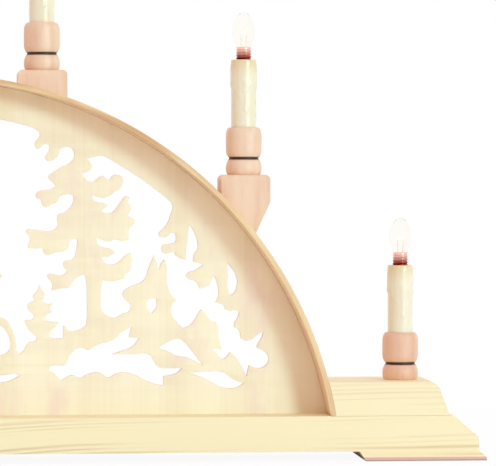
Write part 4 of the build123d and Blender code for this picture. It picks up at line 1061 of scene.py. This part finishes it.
def floor_mesh():
    mesh = bmesh.new()
    corners = [(-FLOOR_HALF, FLOOR_NEAR), (FLOOR_HALF, FLOOR_NEAR), (FLOOR_HALF, FLOOR_FAR),
               (-FLOOR_HALF, FLOOR_FAR)]
    mesh.faces.new([mesh.verts.new((x, y, 0)) for x, y in corners])
    return finished(mesh, "floor", 30)


def floor_finish():
    """Pale paper that the camera sees nearly white, with the object's shadow on it."""
    skin = Finish("Pale floor", 0.9)
    skin.colour(FLOOR_WHITE)
    output = next(node for node in skin.tree.nodes if node.type == "OUTPUT_MATERIAL")
    shown = skin.node("LightPath").outputs["Is Camera Ray"]
    white = skin.node("Emission", linear((1.0, 1.0, 1.0)), 1.0).outputs[0]
    both = skin.node("MixShader", skin.sum("MULTIPLY", shown, FLOOR_SHOWN),
                     skin.shader.outputs[0], white)
    skin.tree.links.new(both.outputs[0], output.inputs[0])
    return skin.material


floor = bpy.data.objects.new("floor", floor_mesh())
scene.collection.objects.link(floor)
floor.data.materials.append(floor_finish())

# Light: a pale surround, brighter above and warmer in front, and one broad lamp at the right
ZENITH = 1.2
HORIZON = 0.73
WARM = (0.95, 0.86, 0.86)
KEY_FROM = Vector((0.74, -1.0, 0.20))
KEY_STRENGTH = 1.32
KEY_COLOUR = (0.77, 0.967, 1.0)
KEY_SPREAD = math.radians(16)


def surround():
    """Light from all round, which the camera, gloss and glass see as plain white."""
    world = bpy.data.worlds.new("Pale surround")
    world.use_nodes = True
    scene.world = world
    tree = Nodes()
    tree.tree = world.node_tree
    tree.tree.nodes.clear()
    path = tree.node("LightPath").outputs
    seen = tree.sum("MAXIMUM", path["Is Camera Ray"], tree.sum("MAXIMUM", path["Is Glossy Ray"],
                                                               path["Is Transmission Ray"]))
    way = tree.node("SeparateXYZ", tree.node("TexCoord").outputs["Generated"]).outputs
    above = tree.node("MapRange", way[2], 0.0, 1.0, HORIZON, ZENITH).outputs[0]
    front = tree.node("MapRange", way[1], 0.4, -0.4, 0.0, 1.0,
                      interpolation_type="SMOOTHSTEP").outputs[0]
    tint = tree.node("Mix", data_type="RGBA")
    for spot, value in zip((0, 6, 7), (front, linear((1.0, 1.0, 1.0)), linear(WARM))):
        tree.feed(tint.inputs[spot], value)
    lit = tree.node("Background", tint.outputs[2], above).outputs[0]
    white = tree.node("Background", linear((1.0, 1.0, 1.0)), 1.0).outputs[0]
    tree.node("OutputWorld", tree.node("MixShader", seen, lit, white).outputs[0])


surround()
key = bpy.data.objects.new("key light", bpy.data.lights.new("key light", "SUN"))
key.data.energy = KEY_STRENGTH
key.data.color = linear(KEY_COLOUR)[:3]
key.data.angle = KEY_SPREAD
key.rotation_euler = KEY_FROM.to_track_quat("Z", "Y").to_euler()
scene.collection.objects.link(key)
scene.view_settings.view_transform = "Standard"

# The camera, where the photograph was taken from
EYE = Vector((0.0, -2.088, 0.18))
AIM = Vector((0.1924, -0.028, 0.139))
LENS = 247.5
SENSOR = 36
camera = bpy.data.objects.new("camera", bpy.data.cameras.new("camera"))
camera.location = EYE
camera.rotation_euler = (EYE - AIM).to_track_quat("Z", "Y").to_euler()
camera.data.lens = LENS
camera.data.sensor_width = SENSOR
camera.data.clip_start = 0.05
scene.collection.objects.link(camera)
scene.camera = camera
